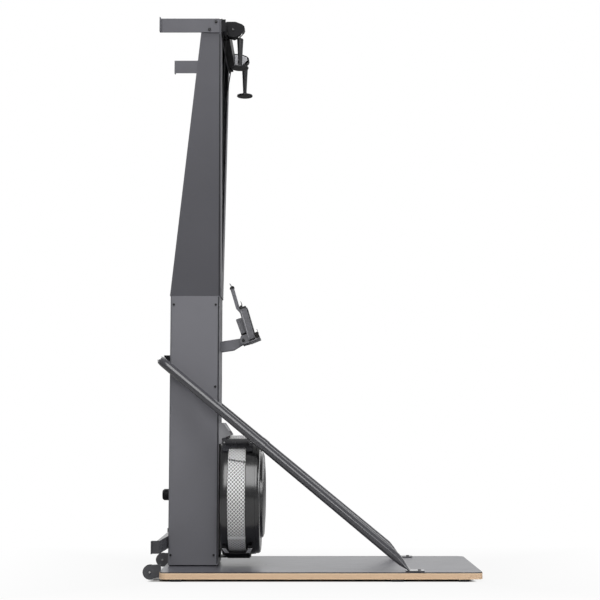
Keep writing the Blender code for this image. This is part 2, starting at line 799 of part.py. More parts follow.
def swept_band(sections):
    """A strip round the fan: at each angle, its rear and front limit and its two radii."""
    points = []
    for angle, rear, front, inner, outer in sections:
        across, up = math.cos(math.radians(angle)), math.sin(math.radians(angle))
        for x, radius in ((rear, inner), (front, inner), (front, outer), (rear, outer)):
            points.append((x, radius * across, FAN_Z + radius * up))
    last = len(points) - 4
    faces = [(0, 1, 2, 3), (last + 3, last + 2, last + 1, last)]
    for start in range(0, last, 4):
        for i in range(4):
            a, b = start + i, start + (i + 1) % 4
            faces.append((a, a + 4, b + 4, b))
    mesh = bpy.data.meshes.new("band")
    mesh.from_pydata(points, [], faces)
    holder = bpy.data.objects.new("band", mesh)
    PARTS.objects.link(holder)
    return baked(holder)


def arc_band(start, stop, rear, front, inner, outer, count=12):
    """An even strip round the fan between two angles."""
    step = (stop - start) / count
    return swept_band([(start + step * i, rear, front, inner, outer) for i in range(count + 1)])


def build_fan_clamps():
    clear = FAN_RADIUS + GAP
    rails = [arc_band(51, 129, rear, rear + 0.0185, clear, 0.2412, 26) for rear in (-0.3450, -0.2445)]
    ends = []
    for middle, out in ((51, -1), (129, 1)):
        pad = sorted((middle - out * 0.3, middle - out * 16.3))
        bar = sorted((middle - out * 4, middle - out * 11))
        ends.append(arc_band(*pad, -0.3444, -0.2266, clear + 0.0004, 0.2408, 5))
        ends.append(arc_band(*bar, -0.3340, -0.2430, clear + 0.0014, 0.2505, 3))
        for rear, front in ((-0.3446, -0.3190), (-0.2520, -0.2264)):
            sections = [
                (middle + out * turn, rear + taper, front - taper, clear + 0.0007, 0.2405)
                for turn, taper in ((-1.6, 0), (1.5, 0), (3.2, 0), (4.4, 0.004))
            ]
            ends.append(swept_band(sections))
    part("fan_top_clamp", fused(*rails, *ends), "graphite")

    cradle = arc_band(242, 298, -0.3340, -0.2380, clear, 0.2440)
    keel = arc_band(243, 297, -0.3288, -0.2416, 0.2430, 0.2480)
    wings = []
    for middle, out in ((242, -1), (298, 1)):
        for rear, front, shift in ((-0.3340, -0.3180, -0.0114), (-0.2540, -0.2380, 0.0114)):
            sections = [
                (middle + out * turn, rear + shift * part_way, front + shift * part_way, clear + 0.0001, 0.2465)
                for turn, part_way in ((-1.5, 0), (0, 0), (3.4, 1 / 3), (6.8, 2 / 3), (10.4, 1))
            ]
            wings.append(swept_band(sections))
    base = FAN_Z - 0.2425
    tongue = block((-0.3622, -0.3320), (-0.045, 0.045), (base, base + 0.004))
    back = block((-0.3622, -0.3582), (-0.045, 0.045), (base, base + 0.030))
    part("fan_bottom_clamp", fused(cradle, keel, *wings, tongue, back), "black_paint")

    cheek = [
        (-0.3622, 0.5900),
        (-0.3450, 0.5900),
        (-0.3150, 0.5450),
        (-0.3170, 0.5420),
        (-0.3344, 0.5345),
        (-0.3350, 0.5316),
        (-0.3497, 0.5310),
        (-0.3500, 0.5130),
        (-0.3540, 0.5090),
        (-0.3622, 0.5060),
    ]
    cheeks = [prism("XZ", cheek, *between(0.0870, 0.0900, sign)) for sign in SIDES.values()]
    slope = prism(
        "XZ",
        [(-0.3470, 0.5896), (-0.3453, 0.5896), (-0.3232, 0.5574), (-0.3265, 0.5574), (-0.3485, 0.5880)],
        -0.0880,
        0.0880,
    )
    back = block((-0.3620, -0.3595), (-0.0880, 0.0880), (0.5585, 0.5897))
    top = block((-0.3610, -0.3460), (-0.0880, 0.0880), (0.5870, 0.5896))
    part("fan_gusset", fused(cheeks[0], back, top, slope, cheeks[1]), "graphite")


def build_brace():
    x, y, z = BRACE_REAR
    joint = Vector(BRACE_JOINT)
    end = {sign: Vector((joint.x, sign * joint.y, joint.z)) for sign in (-1, 1)}
    corner = {sign: Vector((x, sign * y, z)) for sign in (-1, 1)}
    path = bent_path([end[-1], corner[-1], corner[1], end[1]], 0.045, 8)
    part("brace_hoop", tube(path, BRACE_RADIUS, 4), "graphite")
    for side, sign in SIDES.items():
        foot = Vector((BRACE_FOOT[0], sign * BRACE_FOOT[1], BRACE_FOOT[2]))
        along = (foot - end[sign]).normalized()
        start = end[sign] + along * GAP
        floor = DECK_TOP + GAP
        sections = [(start, 0.01755, 0.01755, 0.0)]
        for reach, level, wide, high, lean in (
            (0.3180, None, 0.01755, 0.01755, 0.0),
            (0.3385, 0.0672, 0.0205, 0.0138, 0.15),
            (0.3560, 0.0512, 0.0240, 0.0080, 0.5),
            (0.3700, floor + 0.0032, 0.0262, 0.0031, 1.0),
        ):
            centre = start + along * ((reach - start.x) / along.x)
            centre.z = centre.z if level is None else level
            sections.append((centre, wide, high, lean))
        leg = pressed_tube(sections, along)
        collar = tube([start, start + along * 0.030], BRACE_RADIUS + 0.0012, 4)
        middle = sections[-1][0].y
        outline = rounded_rectangle((0.352, middle - 0.026), (0.422, middle + 0.026), 0.010)
        plate = prism("XY", outline, floor, floor + 0.0045)
        head = bolt_head("Z", (0.404, middle, floor + 0.0044), 0.006, 0.0018)
        below = block((0.25, 0.45), between(0.20, 0.35, sign), (0.0, floor))
        part(f"brace_leg_{side}", cut(fused(leg, collar, plate, head), below), "graphite")
    clip = block((-0.5860, -0.5583), (-0.042, 0.042), (z - 0.024, z + 0.024))
    seat = rod("Y", (x, 0, z), BRACE_RADIUS + GAP + 0.0002, -0.06, 0.06, 32)
    part("hoop_clip", cut(clip, seat), "black_paint")


def build_console():
    arm = prism(
        "XZ",
        [
            (-0.3622, 0.872),
            (-0.3100, 0.880),
            (-0.2670, 0.906),
            (-0.2480, 0.909),
            (-0.2440, 0.914),
            (-0.2460, 0.921),
            (-0.2550, 0.926),
            (-0.2790, 0.927),
            (-0.3622, 0.914),
        ],
        -0.0220,
        0.0220,
    )
    room = prism(
        "XZ",
        [(-0.3590, 0.860), (-0.2560, 0.860), (-0.2560, 0.9225), (-0.2788, 0.9238), (-0.3590, 0.9112)],
        -0.0195,
        0.0195,
    )
    pivot = (PIVOT_X, 0, PIVOT_Z - 0.003)
    pin = rod("Y", pivot, 0.005, -0.0614, 0.0614)
    heads = [bolt_head("Y", (PIVOT_X, out * 0.0606, PIVOT_Z - 0.003), 0.0055, 0.0035, out, 0) for out in (-1, 1)]
    part("console_arm", fused(cut(arm, room), pin, *heads), "graphite")

    outline = [
        (console_rear(1.0440), 1.0440),
        (-0.2850, 1.0470),
        (-0.2620, 1.0535),
        (-0.2595, 1.0520),
        (-0.2228, 0.9285),
        (-0.2240, 0.9245),
        (-0.2462, 0.9148),
        (console_rear(0.9175), 0.9175),
    ]
    body = prism("XZ", outline, -0.062, 0.062)
    notch = block((-0.300, -0.2330), (-0.0225, 0.0225), (0.900, 0.9350))
    ear = [(-0.2560, 0.9420), (-0.2790, 0.9350)] + arc((PIVOT_X, PIVOT_Z - 0.003), 0.0150, 165, 290, 8)
    ear += [(-0.2453, 0.9073), (-0.2380, 0.9250)]
    ears = []
    for sign in SIDES.values():
        cheek = prism("XZ", ear, *between(0.0560, 0.0602, sign))
        bore = rod("Y", (PIVOT_X, sign * 0.0581, PIVOT_Z - 0.003), 0.005 + RUNNING, -0.01, 0.01)
        ears.append(cut(cheek, bore))
    part("console_body", fused(cut(body, notch), *ears), "console_grey", pivot)
    top = Vector((-0.2595, 1.0520))
    foot = Vector((-0.2228, 0.9285))
    down = (foot - top).normalized()
    out = Vector((-down.y, down.x))
    corners = [top + down * 0.009, foot - down * 0.012]
    face = [corners[0] + out * GAP, corners[1] + out * GAP, corners[1] + out * 0.0018, corners[0] + out * 0.0018]
    part("console_screen", prism("XZ", [tuple(p) for p in face], -0.054, 0.054), "glass", pivot)
    rear = [
        (-0.3001, 0.9985),
        (-0.2985, 1.0015),
        (console_rear(1.0085) - GAP, 1.0085),
        (console_rear(0.9500) - GAP, 0.9500),
        (-0.2775, 0.9430),
        (-0.2805, 0.9450),
    ]
    box = prism("XZ", rear, -0.050, 0.050)
    seat = [(console_rear(0.955) - 0.0035, 0.955), (console_rear(0.955) + 0.01, 0.955)]
    seat += [(console_rear(1.03) + 0.01, 1.03), (console_rear(1.03) - 0.0035, 1.03)]
    part("console_back_box", cut(box, prism("XZ", seat, -0.0124, 0.0124)), "console_grey", pivot)
    build_device_post()
    build_device_ledge(pivot)


def console_rear(z):
    """The line of the console's rear face, which the device post slides along."""
    return -0.2865 + (1.0440 - z) * POST_SLOPE


def build_device_post():
    """A channel with a cap and a claw on top and a flat tongue that slides behind the console."""
    channel = [
        (-0.3260, 1.1298),
        (-0.3014, 1.0472),
        (-0.2905, 1.0368),
        (console_rear(1.0280) - 0.0030, 1.0280),
        (console_rear(0.9560) - 0.0030, 0.9560),
        (console_rear(0.9560) - 0.0005, 0.9560),
        (console_rear(1.0440) - 0.0005, 1.0440),
        (-0.2878, 1.0555),
        (-0.2923, 1.0692),
        (-0.3112, 1.1335),
    ]
    post = prism("XZ", channel, -0.012, 0.012)
    cap = [(-0.3268, 1.1275), (-0.3255, 1.1325), (-0.3215, 1.1375), (-0.3165, 1.1388), (-0.3110, 1.1368)]
    hood = prism("XZ", cap + [(-0.3092, 1.1322)], -0.014, 0.014)
    claw = [(-0.3203, 1.1365), (-0.3180, 1.1372), (-0.3222, 1.1440), (-0.3268, 1.1482), (-0.3278, 1.1464)]
    hook = prism("XZ", claw + [(-0.3240, 1.1425)], -0.030, 0.030)
    part("console_post", fused(post, hood, hook), "grey_paint", (-0.2636, 0, 0.956))


def build_device_ledge(pivot):
    """The lower lip that a phone or tablet stands on, under the console, with a pad at each end."""
    line = [(-0.2710, 0.8990), (-0.2022, 0.9268)]
    lip = prism("XZ", strip(line, 0.0028), -0.080, 0.080)
    notch = block((-0.290, -0.236), (-0.0250, 0.0250), (0.880, 0.930))
    trim = [
        block((-0.290, -0.2425), between(0.0330, 0.0900, sign), (0.880, 0.930)) for sign in SIDES.values()
    ]
    pads = []
    for sign in SIDES.values():
        pad = prism(
            "XZ",
            [(-0.2170, 0.9205), (-0.2035, 0.9260), (-0.2050, 0.9330), (-0.2130, 0.9495), (-0.2225, 0.9455)],
            *between(0.0640, 0.0790, sign),
        )
        prong = prism(
            "XZ",
            [(-0.2150, 0.9470), (-0.2126, 0.9480), (-0.2122, 0.9575), (-0.2165, 0.9606), (-0.2180, 0.9592)]
            + [(-0.2142, 0.9562)],
            *between(0.0690, 0.0750, sign),
        )
        pads.extend([pad, prong])
    webs = [
        prism(
            "XZ",
            [(-0.2660, 0.9010), (-0.2390, 0.9120), (-0.2390, 0.9174), (-0.2458, 0.9144), (-0.2560, 0.9075)],
            *between(0.0282, 0.0312, sign),
        )
        for sign in SIDES.values()
    ]
    part("device_ledge", fused(cut(lip, notch, *trim), *pads, *webs), "graphite", pivot)


def build():
    build_platform()
    for side, sign in SIDES.items():
        build_wheel(side, sign)
    build_column()
    build_upper_body()
    build_wall_fixings()
    build_head()
    for side, sign in SIDES.items():
        build_handle(side, sign)
        build_drive_cord(side, sign)
    build_cord_drive()
    build_fan()
    build_brace()
    build_console()


build()
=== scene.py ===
"""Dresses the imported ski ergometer: finishes for every node, added small pieces, and a studio."""

import math

import bmesh
import bpy
from bpy.props import FloatProperty, FloatVectorProperty, IntProperty, PointerProperty
from bpy.types import Operator, Panel, PropertyGroup
from mathutils import Matrix, Vector


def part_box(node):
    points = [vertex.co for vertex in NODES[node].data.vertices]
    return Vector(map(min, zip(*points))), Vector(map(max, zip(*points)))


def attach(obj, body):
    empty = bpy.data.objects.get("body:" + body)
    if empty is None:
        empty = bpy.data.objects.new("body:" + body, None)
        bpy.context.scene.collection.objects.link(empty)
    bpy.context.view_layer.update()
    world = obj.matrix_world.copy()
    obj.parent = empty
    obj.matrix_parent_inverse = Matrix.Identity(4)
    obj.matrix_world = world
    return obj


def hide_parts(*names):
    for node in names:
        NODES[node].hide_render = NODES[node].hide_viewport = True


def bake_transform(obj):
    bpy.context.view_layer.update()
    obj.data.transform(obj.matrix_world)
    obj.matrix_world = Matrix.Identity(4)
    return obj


bl_info = {
    "name": "Ski Ergometer Dressing",
    "version": (1, 0, 0),
    "blender": (4, 5, 0),
    "location": "View3D > Sidebar > Ergometer",
    "description": "Finishes and small pieces for a ski ergometer",
    "category": "Object",
}

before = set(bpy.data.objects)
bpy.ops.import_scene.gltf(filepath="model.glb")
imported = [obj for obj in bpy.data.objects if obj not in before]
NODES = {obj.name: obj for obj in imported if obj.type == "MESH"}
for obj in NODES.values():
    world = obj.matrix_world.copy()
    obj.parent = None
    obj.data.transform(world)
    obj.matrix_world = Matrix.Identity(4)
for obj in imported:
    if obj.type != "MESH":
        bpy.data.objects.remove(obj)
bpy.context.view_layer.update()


def middle(node):
    """The middle of a node's box, to a hundredth of a millimetre."""
    low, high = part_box(node)
    return [round((a + b) / 2, 5) for a, b in zip(low, high)]


# Sizes and places are in metres, and angles in degrees, unless a comment says otherwise
SIDES = {"left": -1, "right": 1}

# The camera, its lens and sensor in millimetres
CAMERA_PLACE = (-0.044, -5.1084, 0.5798)
CAMERA_PITCH = 95.635
CAMERA_LENS = 76.254
SENSOR_WIDTH = 36.0

# Each light: name, place, target, size, and share of the key light's power
LIGHTS = (
    ("key", (-0.6, -4.5, 4.1), (-0.35, 0.0, 0.9), (4.0, 4.4), 1.04),
    ("right", (4.4, -1.8, 2.2), (-0.2, 0.0, 0.9), (2.2, 2.6), 0.42),
    ("back", (-3.2, 3.8, 3.6), (-0.3, 0.0, 1.0), (2.6, 2.6), 0.62),
    ("overhead", (-0.20, -1.10, 4.6), (-0.35, 0.0, 0.8), (1.3, 1.0), 0.55),
)

# The floor: its half width, its drop below the feet, and the half lengths of the part that takes the shadow
FLOOR_HALF = 60.0
FLOOR_DROP = 0.0004
SHADOW_HALF_X = 0.605
SHADOW_HALF_Y = 0.290

# Strength of the surroundings for diffuse rays, and how it grows toward the far side for glossy rays
AMBIENT = 0.12
GLOSSY_BACKDROP = (("From Min", 0.30), ("From Max", 0.92), ("To Min", 0.10), ("To Max", 1.0))

# A wave texture of scale 1 repeats at this distance
WAVE_SPACING = math.pi / 10

# Heights on the board's edge over which its pale rims and its dark top line fade in
UPPER_RIM = (0.0275, 0.0285)
LOWER_RIM = (0.0122, 0.0108)
TOP_LINE = (0.0313, 0.0318)
TOP_LINE_COLOUR = (0.030, 0.032, 0.046)

# Bends up to this angle are shaded smooth
GENTLE_BEND = 32.0

# Screw heads: radius and height
WHEEL_BOLT = (0.0047, 0.0042)
COLUMN_SCREW = (0.0046, 0.0032)
ARM_SCREW = (0.0058, 0.0046)
PULLEY_SCREW = (0.0047, 0.0042)
CLAMP_SCREW = (0.0042, 0.0030)
FOOT_SCREW = (0.0066, 0.0024)
PIVOT_SCREW = (0.0061, 0.0050)

# Faces that the screws stand on, as a distance from the machine's middle or from the wheel or pulley
WHEEL_BOLT_REACH = 0.0125
PULLEY_SCREW_REACH = {"outer": 0.0243, "inner": 0.0190}
COLUMN_SIDE = 0.092
ARM_SIDE = 0.2893
PIVOT_SIDE = 0.0606

# Screw places on those faces, as x and z
COLUMN_SCREW_PLACES = ((-0.544, 1.057), (-0.378, 1.057), (-0.378, 0.732), (-0.548, 0.078), (-0.380, 0.078))
ARM_SCREW_PLACES = ((-0.371, 2.145), (-0.396, 2.114))
PIVOT_PLACE = (-0.269, 0.917)
FOOT_SCREW_PLACE = (0.404, 0.2655, 0.0398)

# Painted-shadow strips on the front edges: z, x and y at both ends, with the strip's width, thickness and
# chamfer
EDGE_SHADOW_STRIPS = {
    "column": ((0.0450, -0.3690, 0.0918), (1.0880, -0.3690, 0.0918)),
    "upper": ((1.0935, -0.3666, 0.0923), (2.0970, -0.3579, 0.2842)),
}
SHADOW_STRIP_WIDTH = 0.0038
SHADOW_STRIP_THICKNESS = 0.0008
SHADOW_STRIP_CHAMFER = 0.0002

# Laid cords above the handles: the steps along and round each, and the strands' turn at each step in radians
CORD_STEPS = 24
CORD_SIDES = 18
STRAND_SWING = 0.42

# Fan cage: the guard net's band, its lap and its ties
FAN_Z = middle("fan_axle")[2]
FAN_NET_RADIUS = 0.2333
FAN_NET_X = (-0.3215, -0.2535)
LAP_ANGLES = (43.5, 40.5)
LAP_LIFT = 0.0014
TIE_COUNT = 7
TIE_ANGLE = 37.5
TIE_SLANT = 0.45
TIE_MARGIN = 0.004
TIE_PITCH = 0.0093
TIE_LENGTH = 0.0058
TIE_HALF_ANGLE = 1.0
TIE_LIFT = 0.0017

# Fan clamps: screws on the upper one, and pale sheets as painted light on the lower one's wings. Each sheet
# has its name, its rear and front, and how far it leans, of which the lean table gives the share at both ends
CLAMP_SCREW_X = (-0.3392, -0.2328)
CLAMP_SCREW_ANGLE = 59.0
CLAMP_RADIUS = 0.2410
WING_HIGHLIGHT_RADII = (0.2462, 0.2471)
WING_HIGHLIGHT_ANGLES = (61.6, 53.0)
WING_HIGHLIGHT_LEAN = (0.04, 0.96)
WING_HIGHLIGHTS = (("rear", -0.3338, -0.3182, -0.0113), ("front", -0.2538, -0.2382, 0.0113))

# Console: the top and slope of its front face, and the window's rim as distances down and across that face
CONSOLE_TOP = Vector((-0.2595, 0.0, 1.0520))
CONSOLE_SLOPE = Vector((0.0367, 0.0, -0.1235))
RIM_NEAR = 0.0035
RIM_FAR = 0.1240
RIM_HALF = 0.0597
RIM_CORNER = 0.006
RIM_SECTION = ((0, 0.0004), (0, 0.0022), (0.0012, 0.0034), (0.0042, 0.0034), (0.0048, 0.0021))
KEY_COUNT = 5
KEY_DOWN = 0.098
KEY_PITCH = 0.0185
KEY_SECTION = ((0.0052, 0.0018), (0.0052, 0.0026), (0.0044, 0.0031))
DISPLAY_SIDES = (0.016, 0.084, 0.046)
DISPLAY_CORNER = 0.002
DISPLAY_HEIGHTS = (0.0019, 0.0024)

# Console trims: place, lean in degrees and size, with their rounded edge
TOP_TRIM = ((-0.2728, 0.0, 1.0474), 15.8, (0.0276, 0.1254, 0.0078))
LOW_TRIM = ((-0.2359, 0.04295, 0.9215), 23.6, (0.0262, 0.0389, 0.0044))
TRIM_EDGE = 0.0009

# Small slabs on the console: outlines as x and z, and the y that each lies between
# A pale strip along the casing's front edge: painted highlight
EDGE_HIGHLIGHT = ((-0.2806, 1.0345), (-0.2480, 0.9250), (-0.2451, 0.9258), (-0.2774, 1.0354))
EDGE_HIGHLIGHT_Y = (0.0616, 0.0630)
CLIP = (
    (-0.2862, 1.0482), (-0.2864, 1.0555), (-0.2850, 1.0596), (-0.2800, 1.0600), (-0.2803, 1.0682),
    (-0.2838, 1.0764), (-0.2822, 1.0772), (-0.2781, 1.0690), (-0.2772, 1.0600), (-0.2742, 1.0530),
)
CLIP_Y = (-0.018, 0.018)
POST_CAP = (
    (-0.3276, 1.1270), (-0.3262, 1.1330), (-0.3219, 1.1381),
    (-0.3164, 1.1395), (-0.3104, 1.1374), (-0.3085, 1.1318),
)
POST_CAP_Y = (-0.0147, 0.0147)
SLEEVE = ((-0.2806, 0.9432), (-0.2606, 0.9492), (-0.2640, 0.9380), (-0.2765, 0.9352))
SLEEVE_Y = (-0.047, 0.047)
BOOT = ((-0.2176, 0.9199), (-0.2028, 0.9259), (-0.2044, 0.9332), (-0.2130, 0.9504), (-0.2232, 0.9460))
BOOT_Y = (0.0634, 0.0796)
SLAB_EDGE = 0.0004


COLOUR = {"subtype": "COLOR", "min": 0.0, "max": 1.0}


class ErgometerFinishes(PropertyGroup):
    """Colours of the painted, moulded and wooden surfaces."""

    body_paint: FloatVectorProperty(
        name="Body paint",
        description="Powder coat of the column, the console's arm and the device holder",
        **COLOUR,
        default=(0.180, 0.180, 0.198),
    )
    # Painted shade: the column's own powder coat, made darker for the flared sheets and wall arms, which get
    # less light
    shaded_body_paint: FloatVectorProperty(
        name="Upper body paint",
        description="Powder coat of the flared sheets and wall arms",
        **COLOUR,
        default=(0.108, 0.108, 0.121),
    )
    cage_paint: FloatVectorProperty(
        name="Cage paint",
        description="Gloss black of the fan's shells and cap",
        **COLOUR,
        default=(0.005, 0.005, 0.006),
    )
    tube_paint: FloatVectorProperty(
        name="Tube paint",
        description="Satin paint of the brace",
        **COLOUR,
        default=(0.060, 0.060, 0.068),
    )
    # Pale paint also makes the painted highlight along the console's edges
    pale_paint: FloatVectorProperty(
        name="Pale paint",
        description="Light grey of the fan's gusset and the console's beads",
        **COLOUR,
        default=(0.300, 0.300, 0.315),
    )
    dark_paint: FloatVectorProperty(
        name="Dark paint",
        description="Satin black of the head beam, pulley covers, bearings and clips",
        **COLOUR,
        default=(0.009, 0.009, 0.0105),
    )
    bracket_paint: FloatVectorProperty(
        name="Wheel bracket paint",
        description="Grey of the wheel brackets",
        **COLOUR,
        default=(0.092, 0.092, 0.100),
    )
    # Black plastic also colours the dark strips on the front edges, which are painted shadow of the gaps
    # there
    black_plastic: FloatVectorProperty(
        name="Black plastic",
        description="Handles, pulleys, drums, the fan wheel and the edge seals",
        **COLOUR,
        default=(0.016, 0.016, 0.018),
    )
    console_plastic: FloatVectorProperty(
        name="Console plastic",
        description="Casing of the console",
        **COLOUR,
        default=(0.150, 0.150, 0.163),
    )
    plywood: FloatVectorProperty(
        name="Plywood",
        description="Edge and underside of the board",
        **COLOUR,
        default=(0.900, 0.635, 0.420),
    )
    deck: FloatVectorProperty(
        name="Deck sheet",
        description="Sheet that the user stands on",
        **COLOUR,
        default=(0.112, 0.112, 0.128),
    )


class ErgometerSizes(PropertyGroup):
    """Sizes of the pieces that are added to the frame."""

    net_columns: IntProperty(
        name="Net diamonds across",
        description="Diamonds across the width of the fan's guard net",
        default=5,
        min=2,
        max=12,
    )
    net_rows: IntProperty(
        name="Net diamonds around",
        description="Diamonds around the fan's guard net",
        default=98,
        min=24,
        max=200,
    )
    net_strand: FloatProperty(
        name="Net strand width",
        description="Width of each strand of the guard net",
        subtype="DISTANCE",
        unit="LENGTH",
        default=0.0027,
    )
    bolt_recess: FloatProperty(
        name="Bolt recess",
        description="Depth of the hexagon recess in each bolt head",
        subtype="DISTANCE",
        unit="LENGTH",
        default=0.0012,
    )
    key_light: FloatProperty(
        name="Key light",
        description="Power that all the lights are scaled from",
        subtype="POWER",
        unit="POWER",
        default=155.0,
    )


def finishes():
    return bpy.context.scene.ergometer_finishes


def sizes():
    return bpy.context.scene.ergometer_sizes


class Shading:
    """A small writer of node trees, so that each finish below reads as a recipe."""

    def __init__(self, name, roughness=0.5, metallic=0.0):
        self.material = bpy.data.materials.new(name)
        self.material.use_nodes = True
        self.tree = self.material.node_tree
        self.shader = self.tree.nodes["Principled BSDF"]
        self.shader.inputs["Roughness"].default_value = roughness
        self.shader.inputs["Metallic"].default_value = metallic
        self.place = self.node("ShaderNodeTexCoord").outputs["Object"]
        self.height = None

    def node(self, kind, **settings):
        made = self.tree.nodes.new(kind)
        for key, value in settings.items():
            setattr(made, key, value)
        return made

    def link(self, source, target):
        self.tree.links.new(source, target)

    def scaled(self, scale, turn=(0.0, 0.0, 0.0)):
        """Object coordinates, stretched or turned."""
        mapping = self.node("ShaderNodeMapping")
        mapping.inputs["Scale"].default_value = scale
        mapping.inputs["Rotation"].default_value = turn
        self.link(self.place, mapping.inputs["Vector"])
        return mapping.outputs["Vector"]

    def noise(self, scale, detail=3.0, roughness=0.5, vector=None):
        texture = self.node("ShaderNodeTexNoise")
        texture.inputs["Scale"].default_value = scale
        texture.inputs["Detail"].default_value = detail
        texture.inputs["Roughness"].default_value = roughness
        self.link(vector or self.place, texture.inputs["Vector"])
        return texture.outputs["Fac"]

    def cells(self, scale, vector=None):
        texture = self.node("ShaderNodeTexVoronoi")
        texture.inputs["Scale"].default_value = scale
        self.link(vector or self.place, texture.inputs["Vector"])
        return texture.outputs["Distance"]

    def waves(self, spacing, direction, vector=None):
        """Bands across an axis that repeat at a spacing."""
        texture = self.node("ShaderNodeTexWave", wave_type="BANDS", bands_direction=direction)
        texture.inputs["Scale"].default_value = WAVE_SPACING / spacing
        texture.inputs["Distortion"].default_value = 0.0
        self.link(vector or self.place, texture.inputs["Vector"])
        return texture.outputs["Fac"]

    def span(self, value, low, high, to_low=0.0, to_high=1.0):
        """A value moved from one range to another."""
        mapped = self.node("ShaderNodeMapRange")
        mapped.inputs["From Min"].default_value = low
        mapped.inputs["From Max"].default_value = high
        mapped.inputs["To Min"].default_value = to_low
        mapped.inputs["To Max"].default_value = to_high
        self.link(value, mapped.inputs["Value"])
        return mapped.outputs["Result"]

    def blend(self, factor, first, second):
        """Two colours mixed by a socket; each may be a colour or a socket."""
        mixed = self.node("ShaderNodeMix", data_type="RGBA")
        self.link(factor, mixed.inputs["Factor"])
        for index, colour in ((6, first), (7, second)):
            if isinstance(colour, bpy.types.NodeSocket):
                self.link(colour, mixed.inputs[index])
            else:
                mixed.inputs[index].default_value = (*colour, 1.0)
        return mixed.outputs[2]

    def axis(self, name):
        split = self.node("ShaderNodeSeparateXYZ")
        self.link(self.place, split.inputs["Vector"])
        return split.outputs[name]

    def facing(self, name):
        """How much the surface's own normal points along an axis."""
        split = self.node("ShaderNodeSeparateXYZ")
        self.link(self.node("ShaderNodeTexCoord").outputs["Normal"], split.inputs["Vector"])
        return split.outputs[name]

    def colour(self, socket):
        self.link(socket, self.shader.inputs["Base Color"])

    def rough(self, socket):
        self.link(socket, self.shader.inputs["Roughness"])

    def bump(self, socket, distance, strength=1.0):
        """Adds relief, on top of any relief that is there already."""
        relief = self.node("ShaderNodeBump")
        relief.inputs["Strength"].default_value = strength
        relief.inputs["Distance"].default_value = distance
        self.link(socket, relief.inputs["Height"])
        if self.height is not None:
            self.link(self.height, relief.inputs["Normal"])
        self.height = relief.outputs["Normal"]
        self.link(self.height, self.shader.inputs["Normal"])

    def maths(self, operation, first, second=None):
        """A sum on one or two sockets; the second may be a plain number."""
        node = self.node("ShaderNodeMath", operation=operation)
        self.link(first, node.inputs[0])
        if isinstance(second, bpy.types.NodeSocket):
            self.link(second, node.inputs[1])
        elif second is not None:
            node.inputs[1].default_value = second
        return node.outputs["Value"]


def tinted(colour, factor):
    return tuple(min(1.0, part * factor) for part in colour)


def powder_coat(name, colour, roughness=0.46, grain=1.0, gloss=0.35, lacquer=0.0):
    """Baked powder paint: a fine orange peel, a faint cloudiness and a few dull patches."""
    paint = Shading(name, roughness)
    paint.shader.inputs["Specular IOR Level"].default_value = gloss
    paint.shader.inputs["Coat Weight"].default_value = lacquer
    paint.shader.inputs["Coat Roughness"].default_value = 0.16
    cloud = paint.noise(3.2, 4.0, 0.55)
    fleck = paint.noise(950.0, 2.0, 0.6)
    base = paint.blend(paint.span(cloud, 0.3, 0.7), tinted(colour, 0.95), tinted(colour, 1.05))
    paint.colour(paint.blend(paint.span(fleck, 0.35, 0.65, 0.0, 0.35), base, tinted(colour, 1.18)))
    paint.rough(paint.span(paint.noise(14.0, 5.0, 0.6), 0.3, 0.7, roughness - 0.05, roughness + 0.06))
    paint.bump(paint.noise(620.0, 2.0, 0.5), 0.00006 * grain, 0.55)
    return paint.material


def moulded_plastic(name, colour, roughness=0.5, grain=1.0, gloss=0.4):
    """Injection-moulded plastic with a fine spark-eroded texture."""
    plastic = Shading(name, roughness)
    plastic.shader.inputs["Specular IOR Level"].default_value = gloss
    grainy = plastic.cells(1400.0)
    soft = plastic.noise(9.0, 3.0)
    plastic.colour(plastic.blend(plastic.span(soft, 0.3, 0.7), tinted(colour, 0.9), tinted(colour, 1.12)))
    plastic.rough(plastic.span(plastic.noise(45.0, 4.0), 0.3, 0.7, roughness - 0.06, roughness + 0.06))
    plastic.bump(grainy, 0.00005 * grain, 0.5)
    return plastic.material


def ribbed_rubber(name, colour, rib=0.0):
    """Matte rubber, dusty in places, with moulded ribs at a spacing where it has a grip."""
    rubber = Shading(name, 0.82)
    dust = rubber.noise(60.0, 6.0, 0.65)
    rubber.colour(rubber.blend(rubber.span(dust, 0.45, 0.75, 0.0, 0.6), colour, tinted(colour, 2.4)))
    rubber.rough(rubber.span(dust, 0.3, 0.7, 0.74, 0.92))
    rubber.bump(rubber.noise(900.0, 2.0), 0.00006, 0.6)
    if rib:
        rubber.bump(rubber.waves(rib, "Y"), 0.0004, 0.7)
    return rubber.material


def two_tone_plate(name, sign):
    """Plate that is black outside and bare grey on the face toward the machine's middle."""
    plate = Shading(name, 0.45)
    cloud = plate.noise(12.0, 4.0)
    bare = plate.blend(plate.span(cloud, 0.3, 0.7), (0.27, 0.27, 0.285), (0.32, 0.32, 0.335))
    inside = plate.span(plate.facing("Y"), sign * 0.3, sign * -0.3)
    plate.colour(plate.blend(inside, (0.009, 0.009, 0.0105), bare))
    plate.rough(plate.span(cloud, 0.3, 0.7, 0.38, 0.5))
    plate.bump(plate.noise(620.0, 2.0, 0.5), 0.00004, 0.5)
    return plate.material


def guard_steel(name, tone):
    """Galvanised sheet, dull and a little spangled."""
    steel = Shading(name, 0.55, 0.3)
    spangle = steel.cells(160.0)
    cloud = steel.noise(9.0, 4.0)
    base = steel.blend(steel.span(spangle, 0.1, 0.7), (tone * 0.93,) * 3, (tone * 1.04,) * 3)
    dull = (tone * 0.88, tone * 0.88, tone * 0.9)
    steel.colour(steel.blend(steel.span(cloud, 0.35, 0.7, 0.0, 0.4), base, dull))
    steel.rough(steel.span(cloud, 0.3, 0.7, 0.50, 0.62))
    return steel.material


